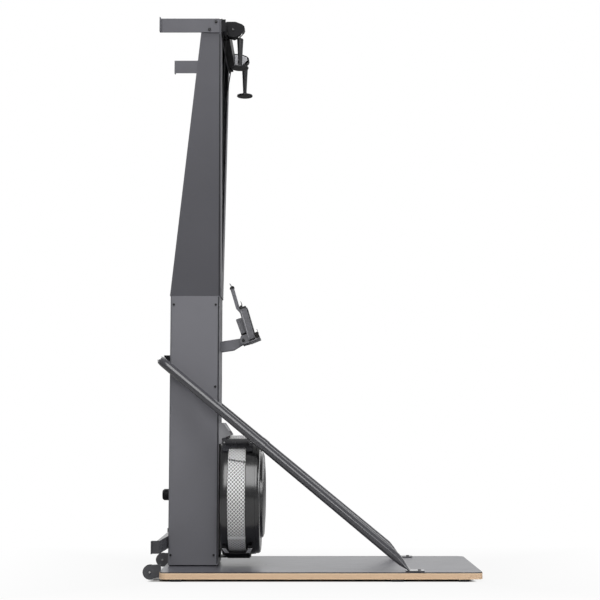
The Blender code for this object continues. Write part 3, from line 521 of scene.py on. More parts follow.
def plated_steel(name, tone, roughness):
    """Plated steel with drawn streaks."""
    steel = Shading(name, roughness, 1.0)
    streak = steel.noise(22.0, 5.0, 0.6, steel.scaled((1.0, 40.0, 40.0)))
    spangle = steel.cells(260.0)
    bright = (tone * 1.08, tone * 1.08, tone * 1.1)
    base = steel.blend(steel.span(streak, 0.3, 0.7), (tone * 0.86,) * 3, bright)
    steel.colour(steel.blend(steel.span(spangle, 0.0, 0.8, 0.0, 0.25), base, (tone * 0.8,) * 3))
    steel.rough(steel.span(streak, 0.3, 0.7, roughness - 0.07, roughness + 0.09))
    steel.bump(streak, 0.00003, 0.5)
    return steel.material


def plywood(name, colour):
    """Birch plywood: the plies run round the edge, and the long grain shows on the faces."""
    wood = Shading(name, 0.52)
    grain = wood.noise(9.0, 8.0, 0.6, wood.scaled((1.2, 22.0, 22.0)))
    pores = wood.noise(60.0, 3.0, 0.5, wood.scaled((1.0, 14.0, 14.0)))
    face = wood.blend(wood.span(grain, 0.3, 0.7), tinted(colour, 0.86), tinted(colour, 1.1))
    face = wood.blend(wood.span(pores, 0.55, 0.75, 0.0, 0.3), face, tinted(colour, 0.6))
    height = wood.axis("Z")
    plies = wood.waves(0.003269, "Z")
    edge = wood.blend(wood.span(plies, 0.35, 0.65), tinted(colour, 0.93), tinted(colour, 1.03))
    end_grain = wood.noise(420.0, 3.0, 0.6, wood.scaled((1.0, 1.0, 0.35)))
    edge = wood.blend(wood.span(end_grain, 0.4, 0.75, 0.0, 0.35), edge, tinted(colour, 0.72))
    rim = wood.maths("MAXIMUM", wood.span(height, *UPPER_RIM), wood.span(height, *LOWER_RIM))
    edge = wood.blend(rim, edge, tinted(colour, 1.16))
    edge = wood.blend(wood.span(height, *TOP_LINE), edge, TOP_LINE_COLOUR)
    upright = wood.maths("ABSOLUTE", wood.facing("Z"))
    wood.colour(wood.blend(wood.span(upright, 0.4, 0.6), edge, face))
    wood.rough(wood.span(grain, 0.3, 0.7, 0.45, 0.6))
    wood.bump(grain, 0.00008, 0.4)
    return wood.material


def deck_sheet(name, colour):
    """A matte vinyl sheet with a fine pebbled grain and faint scuffs."""
    vinyl = Shading(name, 0.30)
    vinyl.shader.inputs["Specular IOR Level"].default_value = 0.36
    pebble = vinyl.cells(620.0)
    cloud = vinyl.noise(2.4, 5.0, 0.6)
    scuff = vinyl.noise(16.0, 6.0, 0.7, vinyl.scaled((1.0, 3.5, 1.0)))
    base = vinyl.blend(vinyl.span(cloud, 0.3, 0.7), tinted(colour, 0.95), tinted(colour, 1.05))
    base = vinyl.blend(vinyl.span(pebble, 0.0, 0.6, 0.35, 0.0), base, tinted(colour, 0.78))
    base = vinyl.blend(vinyl.span(scuff, 0.6, 0.8, 0.0, 0.25), base, tinted(colour, 1.16))
    vinyl.colour(vinyl.blend(vinyl.span(vinyl.facing("Z"), 0.3, 0.7), (0.020, 0.021, 0.030), base))
    vinyl.rough(vinyl.span(scuff, 0.3, 0.7, 0.27, 0.33))
    vinyl.bump(pebble, 0.00005, 0.5)
    return vinyl.material


def twisted_cord(name, colour):
    """Laid rope: slanted strands with a dark line between them."""
    rope = Shading(name, 0.78)
    slanted = rope.scaled((1.0, 1.0, 1.0), (0.0, math.radians(38), math.radians(20)))
    strands = rope.waves(0.002826, "Z", slanted)
    fuzz = rope.noise(1800.0, 3.0, 0.7)
    lit = rope.blend(rope.span(fuzz, 0.3, 0.7), tinted(colour, 0.85), tinted(colour, 1.08))
    rope.colour(rope.blend(rope.span(strands, 0.0, 0.45), tinted(colour, 0.42), lit))
    rope.bump(strands, 0.0006, 0.8)
    rope.bump(fuzz, 0.00008, 0.5)
    return rope.material


def woven_elastic(name, colour):
    """Shock cord: a black woven jacket with a pale tracer thread."""
    jacket = Shading(name, 0.85)
    crossing = []
    for slant in (42, -42):
        leaning = jacket.scaled((1.0, 1.0, 1.0), (0.0, math.radians(slant), 0.0))
        crossing.append(jacket.waves(0.0019635, "Z", leaning))
    weave = jacket.maths("MULTIPLY", *crossing)
    jacket.colour(jacket.blend(jacket.span(weave, 0.55, 0.75), colour, tinted(colour, 4.0)))
    jacket.bump(weave, 0.0004, 0.8)
    return jacket.material


def display_glass(name):
    """A dark glossy window with a faint smear of finger marks."""
    glass = Shading(name, 0.08)
    smear = glass.noise(24.0, 6.0, 0.7, glass.scaled((1.0, 0.5, 1.0)))
    glass.colour(glass.blend(glass.span(smear, 0.4, 0.8), (0.006, 0.007, 0.009), (0.016, 0.018, 0.022)))
    glass.rough(glass.span(smear, 0.4, 0.8, 0.05, 0.22))
    glass.shader.inputs["Coat Weight"].default_value = 0.6
    glass.shader.inputs["Coat Roughness"].default_value = 0.05
    return glass.material


def segment_display(name):
    """A grey-green panel of the kind that shows plain digits, unlit."""
    panel = Shading(name, 0.35)
    lines = panel.waves(0.000748, "Z")
    faint = panel.span(lines, 0.3, 0.7, 0.0, 0.2)
    panel.colour(panel.blend(faint, (0.105, 0.120, 0.105), (0.070, 0.082, 0.072)))
    panel.rough(panel.span(panel.noise(90.0, 4.0), 0.3, 0.7, 0.28, 0.42))
    return panel.material


def shared(name, recipe, *settings):
    """A finish that several pieces use, made the first time it is asked for."""
    return bpy.data.materials.get(name) or recipe(name, *settings)


def smoothing():
    """A modifier group that shades gentle bends smooth and keeps hard edges."""
    found = bpy.data.node_groups.get("Smooth Gentle Bends")
    if found:
        return found
    group = bpy.data.node_groups.new("Smooth Gentle Bends", "GeometryNodeTree")
    group.interface.new_socket("Geometry", in_out="INPUT", socket_type="NodeSocketGeometry")
    group.interface.new_socket("Geometry", in_out="OUTPUT", socket_type="NodeSocketGeometry")
    start = group.nodes.new("NodeGroupInput")
    stop = group.nodes.new("NodeGroupOutput")
    joined = group.nodes.new("GeometryNodeMergeByDistance")
    joined.inputs["Distance"].default_value = 0.00001
    faces = group.nodes.new("GeometryNodeSetShadeSmooth")
    faces.domain = "FACE"
    edges = group.nodes.new("GeometryNodeSetShadeSmooth")
    edges.domain = "EDGE"
    angle = group.nodes.new("GeometryNodeInputMeshEdgeAngle")
    gentle = group.nodes.new("FunctionNodeCompare")
    gentle.data_type = "FLOAT"
    gentle.operation = "LESS_EQUAL"
    gentle.inputs["B"].default_value = math.radians(GENTLE_BEND)
    group.links.new(start.outputs[0], joined.inputs["Geometry"])
    group.links.new(joined.outputs[0], faces.inputs["Geometry"])
    group.links.new(faces.outputs[0], edges.inputs["Geometry"])
    group.links.new(angle.outputs["Unsigned Angle"], gentle.inputs["A"])
    group.links.new(gentle.outputs[0], edges.inputs["Shade Smooth"])
    group.links.new(edges.outputs[0], stop.inputs[0])
    return group


def finish_nodes(material, *names):
    """Gives carried-over nodes their finish and smooth rounds."""
    for name in names:
        solid = NODES[name]
        mesh = solid.data
        mesh.materials.clear()
        mesh.materials.append(material)
        normals = mesh.attributes.get("custom_normal")
        if normals:
            mesh.attributes.remove(normals)
        smooth = solid.modifiers.new("Smooth rounds", "NODES")
        smooth.node_group = smoothing()


def new_piece(name, mesh, material, body):
    """A piece that is added to the frame and moves with one of its bodies."""
    piece = bpy.data.objects.new(name, mesh)
    bpy.context.scene.collection.objects.link(piece)
    mesh.materials.clear()
    mesh.materials.append(material)
    smooth = piece.modifiers.new("Smooth rounds", "NODES")
    smooth.node_group = smoothing()
    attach(piece, body)


def ring_points(count, radius, height, corners=0):
    """Points round a circle or, with corners, round a regular polygon of that many corners."""
    found = []
    for i in range(count):
        turn = 2 * math.pi * i / count
        reach = radius
        if corners:
            part = 2 * math.pi / corners
            reach = radius * math.cos(part / 2) / math.cos((turn % part) - part / 2)
        found.append((reach * math.cos(turn), reach * math.sin(turn), height))
    return found


def stacked(rings, close_first=True, close_last=True):
    """A mesh through rings of points that all have the same count."""
    shape = bmesh.new()
    rows = [[shape.verts.new(point) for point in ring] for ring in rings]
    for low, high in zip(rows, rows[1:]):
        for i in range(len(low)):
            j = (i + 1) % len(low)
            shape.faces.new((low[i], low[j], high[j], high[i]))
    if close_first:
        shape.faces.new(rows[0][::-1])
    if close_last:
        shape.faces.new(rows[-1])
    bmesh.ops.recalc_face_normals(shape, faces=shape.faces)
    mesh = bpy.data.meshes.new("stacked")
    shape.to_mesh(mesh)
    shape.free()
    return mesh


def aimed(place, direction):
    """A matrix that stands a mesh's +Z along a direction at a place."""
    turn = Vector((0, 0, 1)).rotation_difference(Vector(direction).normalized())
    return Matrix.Translation(place) @ turn.to_matrix().to_4x4()


def socket_bolt(name, place, direction, head, material):
    """A button-head screw with a hexagon recess, standing on a surface of the frame."""
    radius, height = head
    recess = min(sizes().bolt_recess, height * 0.7)
    rings = [
        ring_points(24, radius, -0.0004),
        ring_points(24, radius, height * 0.30),
        ring_points(24, radius * 0.93, height * 0.66),
        ring_points(24, radius * 0.76, height * 0.92),
        ring_points(24, radius * 0.60, height),
        ring_points(24, radius * 0.50, height, 6),
        ring_points(24, radius * 0.47, height - recess, 6),
    ]
    mesh = stacked(rings)
    mesh.transform(aimed(place, direction))
    new_piece(name, mesh, material, "frame")


def soft_box(size, edge):
    """A box mesh about the origin with rounded edges."""
    shape = bmesh.new()
    bmesh.ops.create_cube(shape, size=1.0)
    bmesh.ops.scale(shape, verts=shape.verts, vec=size)
    bmesh.ops.bevel(shape, geom=shape.edges[:], offset=edge, segments=2, profile=0.5, affect="EDGES")
    mesh = bpy.data.meshes.new("box")
    shape.to_mesh(mesh)
    shape.free()
    return mesh


def merged(name, meshes):
    """Several meshes as one."""
    shape = bmesh.new()
    for mesh in meshes:
        shape.from_mesh(mesh)
    bmesh.ops.remove_doubles(shape, verts=shape.verts, dist=0.0000005)
    mesh = bpy.data.meshes.new(name)
    shape.to_mesh(mesh)
    shape.free()
    return mesh


def light(name, place, target, size, power):
    """A rectangular lamp that faces its target."""
    lamp = bpy.data.lights.new(name, "AREA")
    lamp.shape = "RECTANGLE"
    lamp.size, lamp.size_y = size
    lamp.energy = power
    holder = bpy.data.objects.new(name, lamp)
    bpy.context.scene.collection.objects.link(holder)
    holder.location = place
    holder.rotation_euler = (Vector(target) - Vector(place)).to_track_quat("-Z", "Y").to_euler()
    return holder


class ERGOMETER_OT_studio(Operator):
    """Puts up the floor, the pale surroundings, the lights and the camera."""

    bl_idname = "ergometer.studio"
    bl_label = "Studio"

    def execute(self, context):
        scene = context.scene
        scene.view_settings.view_transform = "Standard"
        camera = bpy.data.cameras.new("Camera")
        camera.lens = CAMERA_LENS
        camera.sensor_width = SENSOR_WIDTH
        camera.sensor_fit = "HORIZONTAL"
        holder = bpy.data.objects.new("Camera", camera)
        scene.collection.objects.link(holder)
        holder.location = CAMERA_PLACE
        holder.rotation_euler = (math.radians(CAMERA_PITCH), 0.0, 0.0)
        scene.camera = holder

        shape = bmesh.new()
        bmesh.ops.create_grid(shape, x_segments=1, y_segments=1, size=FLOOR_HALF)
        mesh = bpy.data.meshes.new("studio_floor")
        shape.to_mesh(mesh)
        shape.free()
        floor = bpy.data.objects.new("studio_floor", mesh)
        scene.collection.objects.link(floor)
        floor.location.z = -FLOOR_DROP
        mesh.materials.append(self.floor_material())
        self.surroundings(scene)
        for name, place, target, size, share in LIGHTS:
            lamp = light(name, place, target, size, sizes().key_light * share)
            lamp.visible_glossy = name != "overhead"
        return {"FINISHED"}

    def floor_material(self):
        """Pale matte floor that takes the shadow and still reads as white."""
        floor = Shading("pale_floor", 0.9)
        faint = floor.noise(1.5, 3.0)
        floor.colour(floor.blend(floor.span(faint, 0.3, 0.7), (0.43, 0.43, 0.43), (0.46, 0.46, 0.46)))
        past_ends = self.beyond(floor, "X", SHADOW_HALF_X)
        past_sides = self.beyond(floor, "Y", SHADOW_HALF_Y)
        outside = floor.maths("MAXIMUM", past_ends, past_sides)
        near = floor.span(outside, -0.010, 0.012, 0.0, 0.90)
        far = floor.span(outside, 0.05, 0.80, 0.0, 0.10)
        shown = floor.maths("MULTIPLY", floor.maths("ADD", near, far), seen_rays(floor))
        glow = floor.node("ShaderNodeEmission")
        glow.inputs["Color"].default_value = (1.0, 1.0, 1.0, 1.0)
        glow.inputs["Strength"].default_value = 1.0
        mixed = floor.node("ShaderNodeMixShader")
        floor.link(shown, mixed.inputs["Fac"])
        floor.link(floor.shader.outputs["BSDF"], mixed.inputs[1])
        floor.link(glow.outputs["Emission"], mixed.inputs[2])
        output = floor.tree.nodes["Material Output"]
        floor.link(mixed.outputs["Shader"], output.inputs["Surface"])
        return floor.material

    def beyond(self, floor, axis, half):
        """How far a place lies outside the shadowed part along one axis."""
        return floor.maths("SUBTRACT", floor.maths("ABSOLUTE", floor.axis(axis)), half)

    def surroundings(self, scene):
        """White for the camera and clear parts, dim for diffuse rays, and a far bright side for gloss."""
        world = bpy.data.worlds.new("Studio")
        scene.world = world
        world.use_nodes = True
        tree = world.node_tree
        tree.nodes.clear()
        path = tree.nodes.new("ShaderNodeLightPath")
        kinds = ("Camera", "Transmission", "Glossy")
        camera, clear, glossy = (path.outputs[f"Is {kind} Ray"] for kind in kinds)
        seen = self.world_math(tree, "MAXIMUM", camera, clear)
        heading = tree.nodes.new("ShaderNodeTexCoord")
        split = tree.nodes.new("ShaderNodeSeparateXYZ")
        tree.links.new(heading.outputs["Generated"], split.inputs["Vector"])
        backdrop = tree.nodes.new("ShaderNodeMapRange")
        for name, value in GLOSSY_BACKDROP:
            backdrop.inputs[name].default_value = value
        tree.links.new(split.outputs["Y"], backdrop.inputs["Value"])
        mirrored = self.world_math(tree, "MULTIPLY", glossy, backdrop.outputs["Result"])
        strength = tree.nodes.new("ShaderNodeMapRange")
        strength.inputs["To Min"].default_value = AMBIENT
        strength.inputs["To Max"].default_value = 1.0
        tree.links.new(self.world_math(tree, "MAXIMUM", seen, mirrored), strength.inputs["Value"])
        background = tree.nodes.new("ShaderNodeBackground")
        background.inputs["Color"].default_value = (1.0, 1.0, 1.0, 1.0)
        tree.links.new(strength.outputs["Result"], background.inputs["Strength"])
        output = tree.nodes.new("ShaderNodeOutputWorld")
        tree.links.new(background.outputs["Background"], output.inputs["Surface"])

    def world_math(self, tree, operation, first, second):
        node = tree.nodes.new("ShaderNodeMath")
        node.operation = operation
        tree.links.new(first, node.inputs[0])
        tree.links.new(second, node.inputs[1])
        return node.outputs["Value"]


def seen_rays(shading):
    """1 for rays from the camera and for those that clear parts send on."""
    path = shading.node("ShaderNodeLightPath")
    return shading.maths("MAXIMUM", path.outputs["Is Camera Ray"], path.outputs["Is Transmission Ray"])


def body_paint():
    return shared("graphite_powder_coat", powder_coat, finishes().body_paint, 0.5, 1.0, 0.3)


# Painted shade: the column's powder coat, made darker for the flared sheets and wall arms
def shaded_body_paint():
    return shared("deep_graphite_powder_coat", powder_coat, finishes().shaded_body_paint, 0.5, 1.0, 0.3)


def tube_paint():
    return shared("satin_tube_paint", powder_coat, finishes().tube_paint, 0.22, 0.15, 0.8, 0.6)


def dark_paint():
    return shared("satin_black_paint", powder_coat, finishes().dark_paint, 0.48, 0.6, 0.16)


def cage_paint():
    return shared("gloss_black_cage_paint", powder_coat, finishes().cage_paint, 0.24, 0.5, 1.0, 0.8)


def bracket_paint():
    return shared("bracket_grey_paint", powder_coat, finishes().bracket_paint, 0.48, 0.8, 0.3)


def pale_paint():
    return shared("pale_grey_paint", powder_coat, finishes().pale_paint, 0.42, 0.8, 0.4)


def black_plastic():
    return shared("moulded_black_plastic", moulded_plastic, finishes().black_plastic, 0.42)


def console_plastic():
    return shared("console_casing_plastic", moulded_plastic, finishes().console_plastic, 0.5)


def bright_steel():
    return shared("zinc_plated_steel", plated_steel, 0.6, 0.34)


def dull_steel():
    return shared("dulled_zinc_steel", plated_steel, 0.16, 0.5)


def black_screw():
    return shared("blackened_screw_steel", plated_steel, 0.055, 0.42)


def bright_guard():
    return shared("bright_guard_steel", guard_steel, 1.0)


class ERGOMETER_OT_platform(Operator):
    """Finishes the board, its deck sheet, the rubber strips and the transport wheels."""

    bl_idname = "ergometer.platform"
    bl_label = "Platform"

    def execute(self, context):
        finish_nodes(shared("birch_plywood", plywood, finishes().plywood), "platform_board")
        finish_nodes(shared("pebbled_deck_sheet", deck_sheet, finishes().deck), "deck_sheet")
        strips = [f"foot_strip_{place}" for place in ("rear", "middle", "front")]
        finish_nodes(shared("ribbed_foot_rubber", ribbed_rubber, (0.018,) * 3, 0.001885), *strips)
        tread = shared("wheel_rubber", ribbed_rubber, (0.013,) * 3)
        for side, sign in SIDES.items():
            finish_nodes(bracket_paint(), f"wheel_bracket_{side}")
            finish_nodes(tread, f"transport_wheel_{side}")
            x, y, z = middle(f"transport_wheel_{side}")
            for face, out in (("outer", sign), ("inner", -sign)):
                name = f"wheel_bolt_{side}_{face}"
                place = (x, y + out * WHEEL_BOLT_REACH, z)
                socket_bolt(name, place, (0, out, 0), WHEEL_BOLT, bright_steel())
        return {"FINISHED"}


class ERGOMETER_OT_upright(Operator):
    """Finishes the column and the flared upper body, with their screws and dark strips of painted shadow on
    their front edges.
    """

    bl_idname = "ergometer.upright"
    bl_label = "Upright"

    def execute(self, context):
        finish_nodes(body_paint(), "column_shell", "column_front_cover")
        # The flared upper body gets the column's paint, darkened as painted shade
        finish_nodes(shaded_body_paint(), "upper_shell", "upper_front_panel")
        finish_nodes(dark_paint(), "base_plate")
        for side, sign in SIDES.items():
            for number, (x, z) in enumerate(COLUMN_SCREW_PLACES, 1):
                name = f"column_screw_{side}_{number}"
                socket_bolt(name, (x, sign * COLUMN_SIDE, z), (0, sign, 0), COLUMN_SCREW, black_screw())
            # Dark strips along the front edges stand for the shadow in the gaps there: painted shadow
            for level, ends in EDGE_SHADOW_STRIPS.items():
                shadow_strip = stacked([self.shadow_strip_section(z, x, y, sign) for z, x, y in ends])
                new_piece(f"{level}_edge_shadow_strip_{side}", shadow_strip, black_plastic(), "frame")
        return {"FINISHED"}

    def shadow_strip_section(self, z, x, y, sign):
        """A painted-shadow strip's cross-section at a height: flat on the side wall, chamfered outside."""
        front = x + SHADOW_STRIP_WIDTH
        outside = y + SHADOW_STRIP_THICKNESS
        section = ((x, y), (front, y), (front - SHADOW_STRIP_CHAMFER, outside), (x + SHADOW_STRIP_CHAMFER, outside))
        return [(a, sign * b, z) for a, b in section]


class ERGOMETER_OT_wall_fixings(Operator):
    """Finishes the wall arms and the low wall bracket, with their screws."""

    bl_idname = "ergometer.wall_fixings"
    bl_label = "Wall fixings"

    def execute(self, context):
        # The wall arms get the column's paint, darkened as painted shade
        finish_nodes(shaded_body_paint(), "wall_arm_left", "wall_arm_right")
        low = shared("satin_bracket_paint", powder_coat, (0.045, 0.045, 0.050), 0.26, 0.5, 0.9)
        finish_nodes(low, "lower_wall_bracket")
        for side, sign in SIDES.items():
            for number, (x, z) in enumerate(ARM_SCREW_PLACES, 1):
                name = f"arm_screw_{side}_{number}"
                socket_bolt(name, (x, sign * ARM_SIDE, z), (0, sign, 0), ARM_SCREW, black_screw())
        return {"FINISHED"}


class ERGOMETER_OT_head(Operator):
    """Finishes the head beam, the pulley housings and their axle screws."""

    bl_idname = "ergometer.head"
    bl_label = "Head and pulleys"

    def execute(self, context):
        finish_nodes(dark_paint(), "head_beam")
        for side, sign in SIDES.items():
            finish_nodes(dark_paint(), f"pulley_cover_{side}")
            finish_nodes(shared(f"two_tone_plate_{side}", two_tone_plate, sign), f"pulley_plate_{side}")
            finish_nodes(bright_steel(), f"pulley_axle_{side}")
            finish_nodes(black_plastic(), f"head_pulley_{side}")
            x, y, z = middle(f"head_pulley_{side}")
            for face, out, steel in (("outer", sign, dull_steel()), ("inner", -sign, bright_steel())):
                place = (x, y + out * PULLEY_SCREW_REACH[face], z)
                socket_bolt(f"pulley_screw_{side}_{face}", place, (0, out, 0), PULLEY_SCREW, steel)
        return {"FINISHED"}


class ERGOMETER_OT_handles(Operator):
    """Finishes the handles and gives each a laid cord in place of its plain cord."""

    bl_idname = "ergometer.handles"
    bl_label = "Handles"

    def execute(self, context):
        for side in SIDES:
            finish_nodes(black_plastic(), f"handle_{side}")
            low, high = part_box(f"handle_cord_{side}")
            radius = (high[0] - low[0]) / 2
            axis = Vector(((low[0] + high[0]) / 2, (low[1] + high[1]) / 2, 0))
            rings = []
            for step in range(CORD_STEPS + 1):
                height = high[2] + (low[2] - high[2]) * step / CORD_STEPS
                rings.append([axis + Vector(point) for point in self.strand_ring(radius, height, step)])
            mesh = stacked(rings)
            for face in mesh.polygons:
                face.use_smooth = True
            cord = bpy.data.objects.new(f"laid_cord_{side}", mesh)
            context.scene.collection.objects.link(cord)
            mesh.materials.append(shared("laid_cord", twisted_cord, (0.60, 0.60, 0.585)))
            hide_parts(f"handle_cord_{side}")
            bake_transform(cord)
        return {"FINISHED"}

    def strand_ring(self, radius, height, step):
        """A ring with the three lobes of a laid cord, turned a little at each step."""
        points = []
        for i in range(CORD_SIDES):
            turn = 2 * math.pi * i / CORD_SIDES
            reach = radius * (0.93 + 0.07 * math.cos(3 * (turn - step * STRAND_SWING)))
            points.append((reach * math.cos(turn), reach * math.sin(turn), height))
        return points


class ERGOMETER_OT_cord_drive(Operator):
    """Finishes the drive cords, their guide pulleys and drums, and the elastic return cords."""

    bl_idname = "ergometer.cord_drive"
    bl_label = "Cord drive"

    def execute(self, context):
        elastic = shared("woven_elastic", woven_elastic, (0.016, 0.016, 0.017))
        finish_nodes(bright_steel(), "guide_bracket")
        for side in SIDES:
            # Painted shade: the drive cords are pale like the handles' cords, made near black for the shade
            # inside the body
            finish_nodes(shared("black_laid_cord", twisted_cord, (0.03, 0.03, 0.033)), f"drive_cord_{side}")
            finish_nodes(elastic, f"return_bungee_{side}")
            finish_nodes(black_plastic(), f"guide_pulley_{side}", f"cord_drum_{side}")
        return {"FINISHED"}


class ERGOMETER_OT_fan(Operator):
    """Finishes the fan cage and its clamps, and lays the expanded-metal guard round it."""

    bl_idname = "ergometer.fan"
    bl_label = "Fan"

    def execute(self, context):
        finish_nodes(bright_steel(), "fan_axle")
        finish_nodes(dark_paint(), "bearing_front", "bearing_rear", "fan_bottom_clamp")
        finish_nodes(cage_paint(), "fan_rear_shell", "fan_front_shell", "fan_front_cap")
        finish_nodes(black_plastic(), "fan_wheel")
        clamp_paint = shared("gloss_graphite_paint", powder_coat, (0.028, 0.028, 0.032), 0.26, 0.5, 0.9)
        finish_nodes(clamp_paint, "fan_top_clamp")
        finish_nodes(pale_paint(), "fan_gusset")
        finish_nodes(shared("guard_backing_steel", guard_steel, 0.26), "fan_mesh")
        new_piece("fan_guard_net", self.net(), bright_guard(), "frame")
        for side, sign in SIDES.items():
            self.seam(side, sign)
        for side, sign in SIDES.items():
            self.clamp_screws(side, sign)
            self.clamp_wing_highlights(side, sign)
        return {"FINISHED"}

    def up_side(self, sign, angle):
        """An angle round the fan's axis, measured up from the level on one side, in degrees."""
        return 90.0 - sign * (90.0 - angle)

    def section(self, turn, rear, front, inner, outer):
        """Four corners of a bent sheet's cross-section at an angle round the fan's axis."""
        turn = math.radians(turn)
        corners = ((rear, inner), (front, inner), (front, outer), (rear, outer))
        return [(x, r * math.cos(turn), FAN_Z + r * math.sin(turn)) for x, r in corners]

    def band(self, start, stop, ends, radii, count=8):
        """A strip of sheet bent round the fan, between two angles in degrees."""
        turns = [start + (stop - start) * i / count for i in range(count + 1)]
        return stacked([self.section(turn, *ends, *radii) for turn in turns])

    def seam(self, side, sign):
        """Where the guard's ends lap: a plain strip, and dark ties along the slanted edge."""
        lap_radii = (FAN_NET_RADIUS, FAN_NET_RADIUS + LAP_LIFT)
        start, stop = (self.up_side(sign, -angle) for angle in LAP_ANGLES)
        lap = self.band(start, stop, FAN_NET_X, lap_radii)
        new_piece(f"guard_lap_{side}", lap, bright_guard(), "frame")
        tie_radii = (FAN_NET_RADIUS, FAN_NET_RADIUS + TIE_LIFT)
        ties = []
        for number in range(TIE_COUNT):
            rear = FAN_NET_X[0] + TIE_MARGIN + number * TIE_PITCH
            turn = self.up_side(sign, TIE_ANGLE - number * TIE_SLANT)
            ends = (rear, rear + TIE_LENGTH)
            ties.append(self.band(turn - TIE_HALF_ANGLE, turn + TIE_HALF_ANGLE, ends, tie_radii, 2))
        seam_tie = shared("seam_tie_steel", plated_steel, 0.05, 0.6)
        new_piece(f"guard_ties_{side}", merged("ties", ties), seam_tie, "frame")

    def clamp_screws(self, side, sign):
        """Screws through the upper clamp's tails."""
        for number, x in enumerate(CLAMP_SCREW_X, 1):
            angle = math.radians(self.up_side(sign, CLAMP_SCREW_ANGLE))
            away = Vector((0.0, math.cos(angle), math.sin(angle)))
            place = Vector((x, 0.0, FAN_Z)) + away * CLAMP_RADIUS
            socket_bolt(f"clamp_screw_{side}_{number}", place, away, CLAMP_SCREW, bright_steel())

    def clamp_wing_highlights(self, side, sign):
        """Pale sheets on the lower clamp's wings, painted light where the wings catch light."""
        for end, rear, front, shift in WING_HIGHLIGHTS:
            rings = []
            for step in range(5):
                share = step / 4
                lean = shift * (WING_HIGHLIGHT_LEAN[0] + (WING_HIGHLIGHT_LEAN[1] - WING_HIGHLIGHT_LEAN[0]) * share)
                turn = self.up_side(sign, -WING_HIGHLIGHT_ANGLES[0] - (WING_HIGHLIGHT_ANGLES[1] - WING_HIGHLIGHT_ANGLES[0]) * share)
                rings.append(self.section(turn, rear + lean, front + lean, *WING_HIGHLIGHT_RADII))
            # Painted light: a pale sheet where the dark wing catches light
            new_piece(f"clamp_wing_highlight_{side}_{end}", stacked(rings), bright_guard(), "frame")

    def net(self):
        """Expanded metal bent into a band: diamonds between slanted strands."""
        columns = sizes().net_columns * 2
        rows = sizes().net_rows * 2
        rear, front = FAN_NET_X
        step = (front - rear) / columns
        angle = 2 * math.pi / rows
        shape = bmesh.new()
        for column in range(columns):
            for row in range(rows):
                if (column + row) % 2 == 0:
                    for lean in (1, -1):
                        start = (rear + column * step, row * angle)
                        stop = (rear + (column + 1) * step, (row + lean) * angle)
                        self.strand(shape, start, stop)
        mesh = bpy.data.meshes.new("net")
        shape.to_mesh(mesh)
        shape.free()
        return mesh

    def strand(self, shape, start, stop):
        """One flat strand, tilted a little about its own length as expanded metal is."""
        half = sizes().net_strand / 2
        along = Vector((stop[0] - start[0], (stop[1] - start[1]) * FAN_NET_RADIUS)).normalized()
        across = Vector((-along.y, along.x)) * half
        corners = []
        for x, turn in (start, stop):
            for side, lift in ((1, 0.0009), (-1, 0.0005)):
                place = x + across.x * side
                place = min(max(place, FAN_NET_X[0]), FAN_NET_X[1])
                swing = turn + across.y * side / FAN_NET_RADIUS
                for radius in (FAN_NET_RADIUS + lift, FAN_NET_RADIUS - 0.0002):
                    spot = (place, radius * math.cos(swing), FAN_Z + radius * math.sin(swing))
                    corners.append(shape.verts.new(spot))
        outer_left, inner_left, outer_right, inner_right = corners[:4]
        far_left, deep_left, far_right, deep_right = corners[4:]
        shape.faces.new((outer_left, far_left, far_right, outer_right))
        shape.faces.new((inner_left, deep_left, far_left, outer_left))
        shape.faces.new((outer_right, far_right, deep_right, inner_right))


class ERGOMETER_OT_brace(Operator):
    """Finishes the tubular brace, its clip and the screws of its foot plates."""

    bl_idname = "ergometer.brace"
    bl_label = "Brace"

    def execute(self, context):
        finish_nodes(tube_paint(), "brace_hoop", "brace_leg_left", "brace_leg_right")
        finish_nodes(dark_paint(), "hoop_clip")
        x, y, z = FOOT_SCREW_PLACE
        for side, sign in SIDES.items():
            socket_bolt(f"foot_screw_{side}", (x, sign * y, z), (0, 0, 1), FOOT_SCREW, black_screw())
        return {"FINISHED"}


